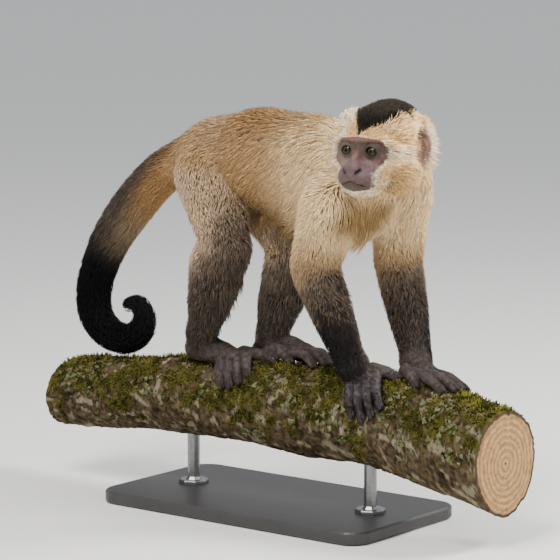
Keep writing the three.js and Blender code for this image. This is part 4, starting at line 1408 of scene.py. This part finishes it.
def add_branch():
    along, around = ((420, 112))
    x = np.repeat(np.linspace(BRANCH["start"], BRANCH["end"], along), around)
    turn = np.tile(np.linspace(-math.pi, math.pi, around, endpoint=False), along)
    points = branch_points(x, turn, 0)
    p = on_bark(x, turn)
    grain = 0.35 * tangle(p, 15, 9) + 0.5 * tangle(p, 4, 3) + 0.4 * tangle(p * vec(0.4, 1, 1), 3, 8)
    tone = mix(rgb(46, 36, 25), rgb(98, 83, 60), col(smooth(-0.8, 0.8, grain)))
    # Painted shade in the bark's cracks, the same cracks as in its relief.
    tone = mix(tone, rgb(26, 20, 14), col(0.8 * smooth(0.16, 0.04, np.abs(tangle(p * vec(0.4, 1, 1), 8, 6)))))
    crust = smooth(0.52, 0.60, tangle(p, 15, 12) + 0.3 * tangle(p, 4, 5))
    tone = mix(tone, rgb(142, 132, 110), col(0.7 * crust))
    moss = moss_share(x, turn)
    green = mix(rgb(46, 43, 14), rgb(82, 78, 30), col(smooth(-0.5, 0.7, tangle(p, 9, 2))))
    tone = mix(tone, green, col(moss * (1 - 0.6 * crust)))
    material = bark_material()
    made = mesh_object("branch", points, ring_quads(along - 1, around), material)
    paint(made, tone)
    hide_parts("perch")
    # Sawn ends, with rings.
    cut_rings = 24
    for end, name in ((0, "branch_end_1"), (along - 1, "branch_end_2")):
        rim = points[end * around:(end + 1) * around]
        centre = rim.mean(0)
        steps = np.linspace(1, 0.02, cut_rings)
        cut = centre + (rim - centre)[None] * steps[:, None, None]
        bow = (-1 if end == 0 else 1) * 0.6 * np.sin(np.linspace(0, math.pi, cut_rings))
        cut[:, :, 0] += bow[:, None]
        faces = ring_quads(cut_rings - 1, around)
        if end:
            faces = faces[:, ::-1]
        flat = cut.reshape(-1, 3)
        reach = np.repeat(steps, around) + 0.02 * wave(flat, 30, 1)
        wood = mix(rgb(186, 150, 104), rgb(140, 104, 66), col(0.5 + 0.5 * np.sin(reach * 95)))
        wood = mix(wood, rgb(70, 54, 40), col(smooth(0.90, 0.96, reach)))
        piece = mesh_object(name, flat, faces, material)
        paint(piece, wood)
    add_moss(material)
    add_lichen(material)


def add_moss(material):
    """Short green spikes in cushions on the upper side."""
    count = MOSS_SPIKES
    x = rng.uniform(BRANCH["start"] + 4, BRANCH["end"] - 4, count * 4)
    turn = rng.uniform(-math.pi, math.pi, count * 4)
    keep = np.flatnonzero(rng.random(count * 4) < moss_share(x, turn) * 0.9)[:count]
    x, turn = x[keep], turn[keep]
    root = branch_points(x, turn, -0.4)
    out = unit(root - np.stack([x, 0 * x, branch_height(x)], 1))
    tilt = rng.normal(0, 0.5, root.shape)
    way = unit(out + tilt)
    size = rng.uniform(1.4, 4.0, len(x)) * (0.6 + 0.6 * moss_share(x, turn))
    size *= 1 + 0.7 * smooth(0.7, 0.1, np.abs(turn + 0.1))  # longest along the top
    across = unit(np.cross(way, unit(tilt + vec(0.3, 0.2, 0.1))))
    other = np.cross(way, across)
    w = col(size * 0.24)
    points = np.stack([root + across * w, root - across * w * 0.5 + other * w * 0.87,
                       root - across * w * 0.5 - other * w * 0.87, root + way * col(size)], 1).reshape(-1, 3)
    faces = np.array([(0, 1, 3), (1, 2, 3), (2, 0, 3), (2, 1, 0)])
    faces = (faces[None] + 4 * np.arange(len(x))[:, None, None]).reshape(-1, 3)
    made = mesh_object("moss", points, faces, material)
    ripe = smooth(-0.6, 0.8, tangle(on_bark(x, turn), 14, 2) + rng.normal(0, 0.3, len(x)))
    tone = mix(rgb(44, 43, 14), rgb(112, 106, 40), col(ripe))
    # Each spike darker at its root corners, painted shade inside the cushion, and lighter at its tip, painted
    # light.
    tone = np.repeat(tone[:, None], 4, 1) * np.array([0.6, 0.6, 0.6, 1.15])[None, :, None]
    paint(made, tone.reshape(-1, 3))


def bark_place(x, turn, lift):
    return branch_points(np.array([x]), np.array([turn]), lift)[0]


def add_lichen(material):
    """Pale leafy rosettes: rings of small lobes that stand off the bark."""
    around = 48  # mm of bark to a radian
    points, faces, tones = [], [], []
    # Each group's x, its turn in degrees and its reach.
    groups = [(-290, 40, 26), (-262, 62, 24), (-236, 30, 15), (-150, 70, 12), (-60, 66, 14), (20, 44, 18),
              (60, 78, 15), (118, 88, 20), (176, 62, 24), (200, 96, 16), (238, 40, 18), (262, 75, 20),
              (-200, -20, 14), (250, -40, 18), (90, -70, 16), (-20, -110, 16), (-120, -60, 18),
              (150, 150, 16), (-220, 130, 16), (0, 130, 14)]
    for gx, gturn, reach in groups:
        for _ in range(int(reach * 1.05)):
            r, a = reach * math.sqrt(rng.random()), rng.uniform(0, 2 * math.pi)
            x = gx + r * math.cos(a) * 1.3
            if not BRANCH["start"] + 3 < x < BRANCH["end"] - 3:
                continue
            turn = math.radians(gturn) + r * math.sin(a) / around
            size = rng.uniform(2.0, 4.6)
            direction = rng.uniform(0, 2 * math.pi)
            start = len(points)
            shade = rng.uniform(0.8, 1.1)
            tone = mix(rgb(92, 98, 64), rgb(134, 134, 100), rng.random()) * shade
            for i in range(9):
                b = direction + 2 * math.pi * i / 9
                lobe = size * (0.8 + 0.3 * math.cos(3 * b + direction * 5))
                lift = 0.6 + 1.1 * rng.random()
                points.append(bark_place(x + lobe * math.cos(b), turn + lobe * math.sin(b) / around, lift))
                tones.append(tone * 1.05)
            points.append(bark_place(x, turn, 0.5))
            tones.append(tone * 0.7)
            points.append(bark_place(x, turn, -0.5))
            tones.append(tone * 0.7)
            faces += [(start + i, start + (i + 1) % 9, start + 9) for i in range(9)]
            faces += [(start + (i + 1) % 9, start + i, start + 10) for i in range(9)]
    made = mesh_object("lichen", np.array(points), np.array(faces), material)
    paint(made, np.array(tones))


def finish_stand():
    base = simple_material("stand_base", rgb(46, 44, 43), rgb(54, 52, 51), 60, 0.42)
    rods = simple_material("stand_rods", rgb(120, 120, 120), rgb(140, 140, 140), 200, 0.3, 0.9)
    for name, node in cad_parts.items():
        if name.startswith("stand_"):
            for i in range(len(node.data.materials)):
                node.data.materials[i] = base if name == "stand_base" else rods


add_camera()
add_stage()
points, triangles = add_skin()
grow(points, triangles, coat_material())
add_eyes()
add_nails()
add_branch()
finish_stand()
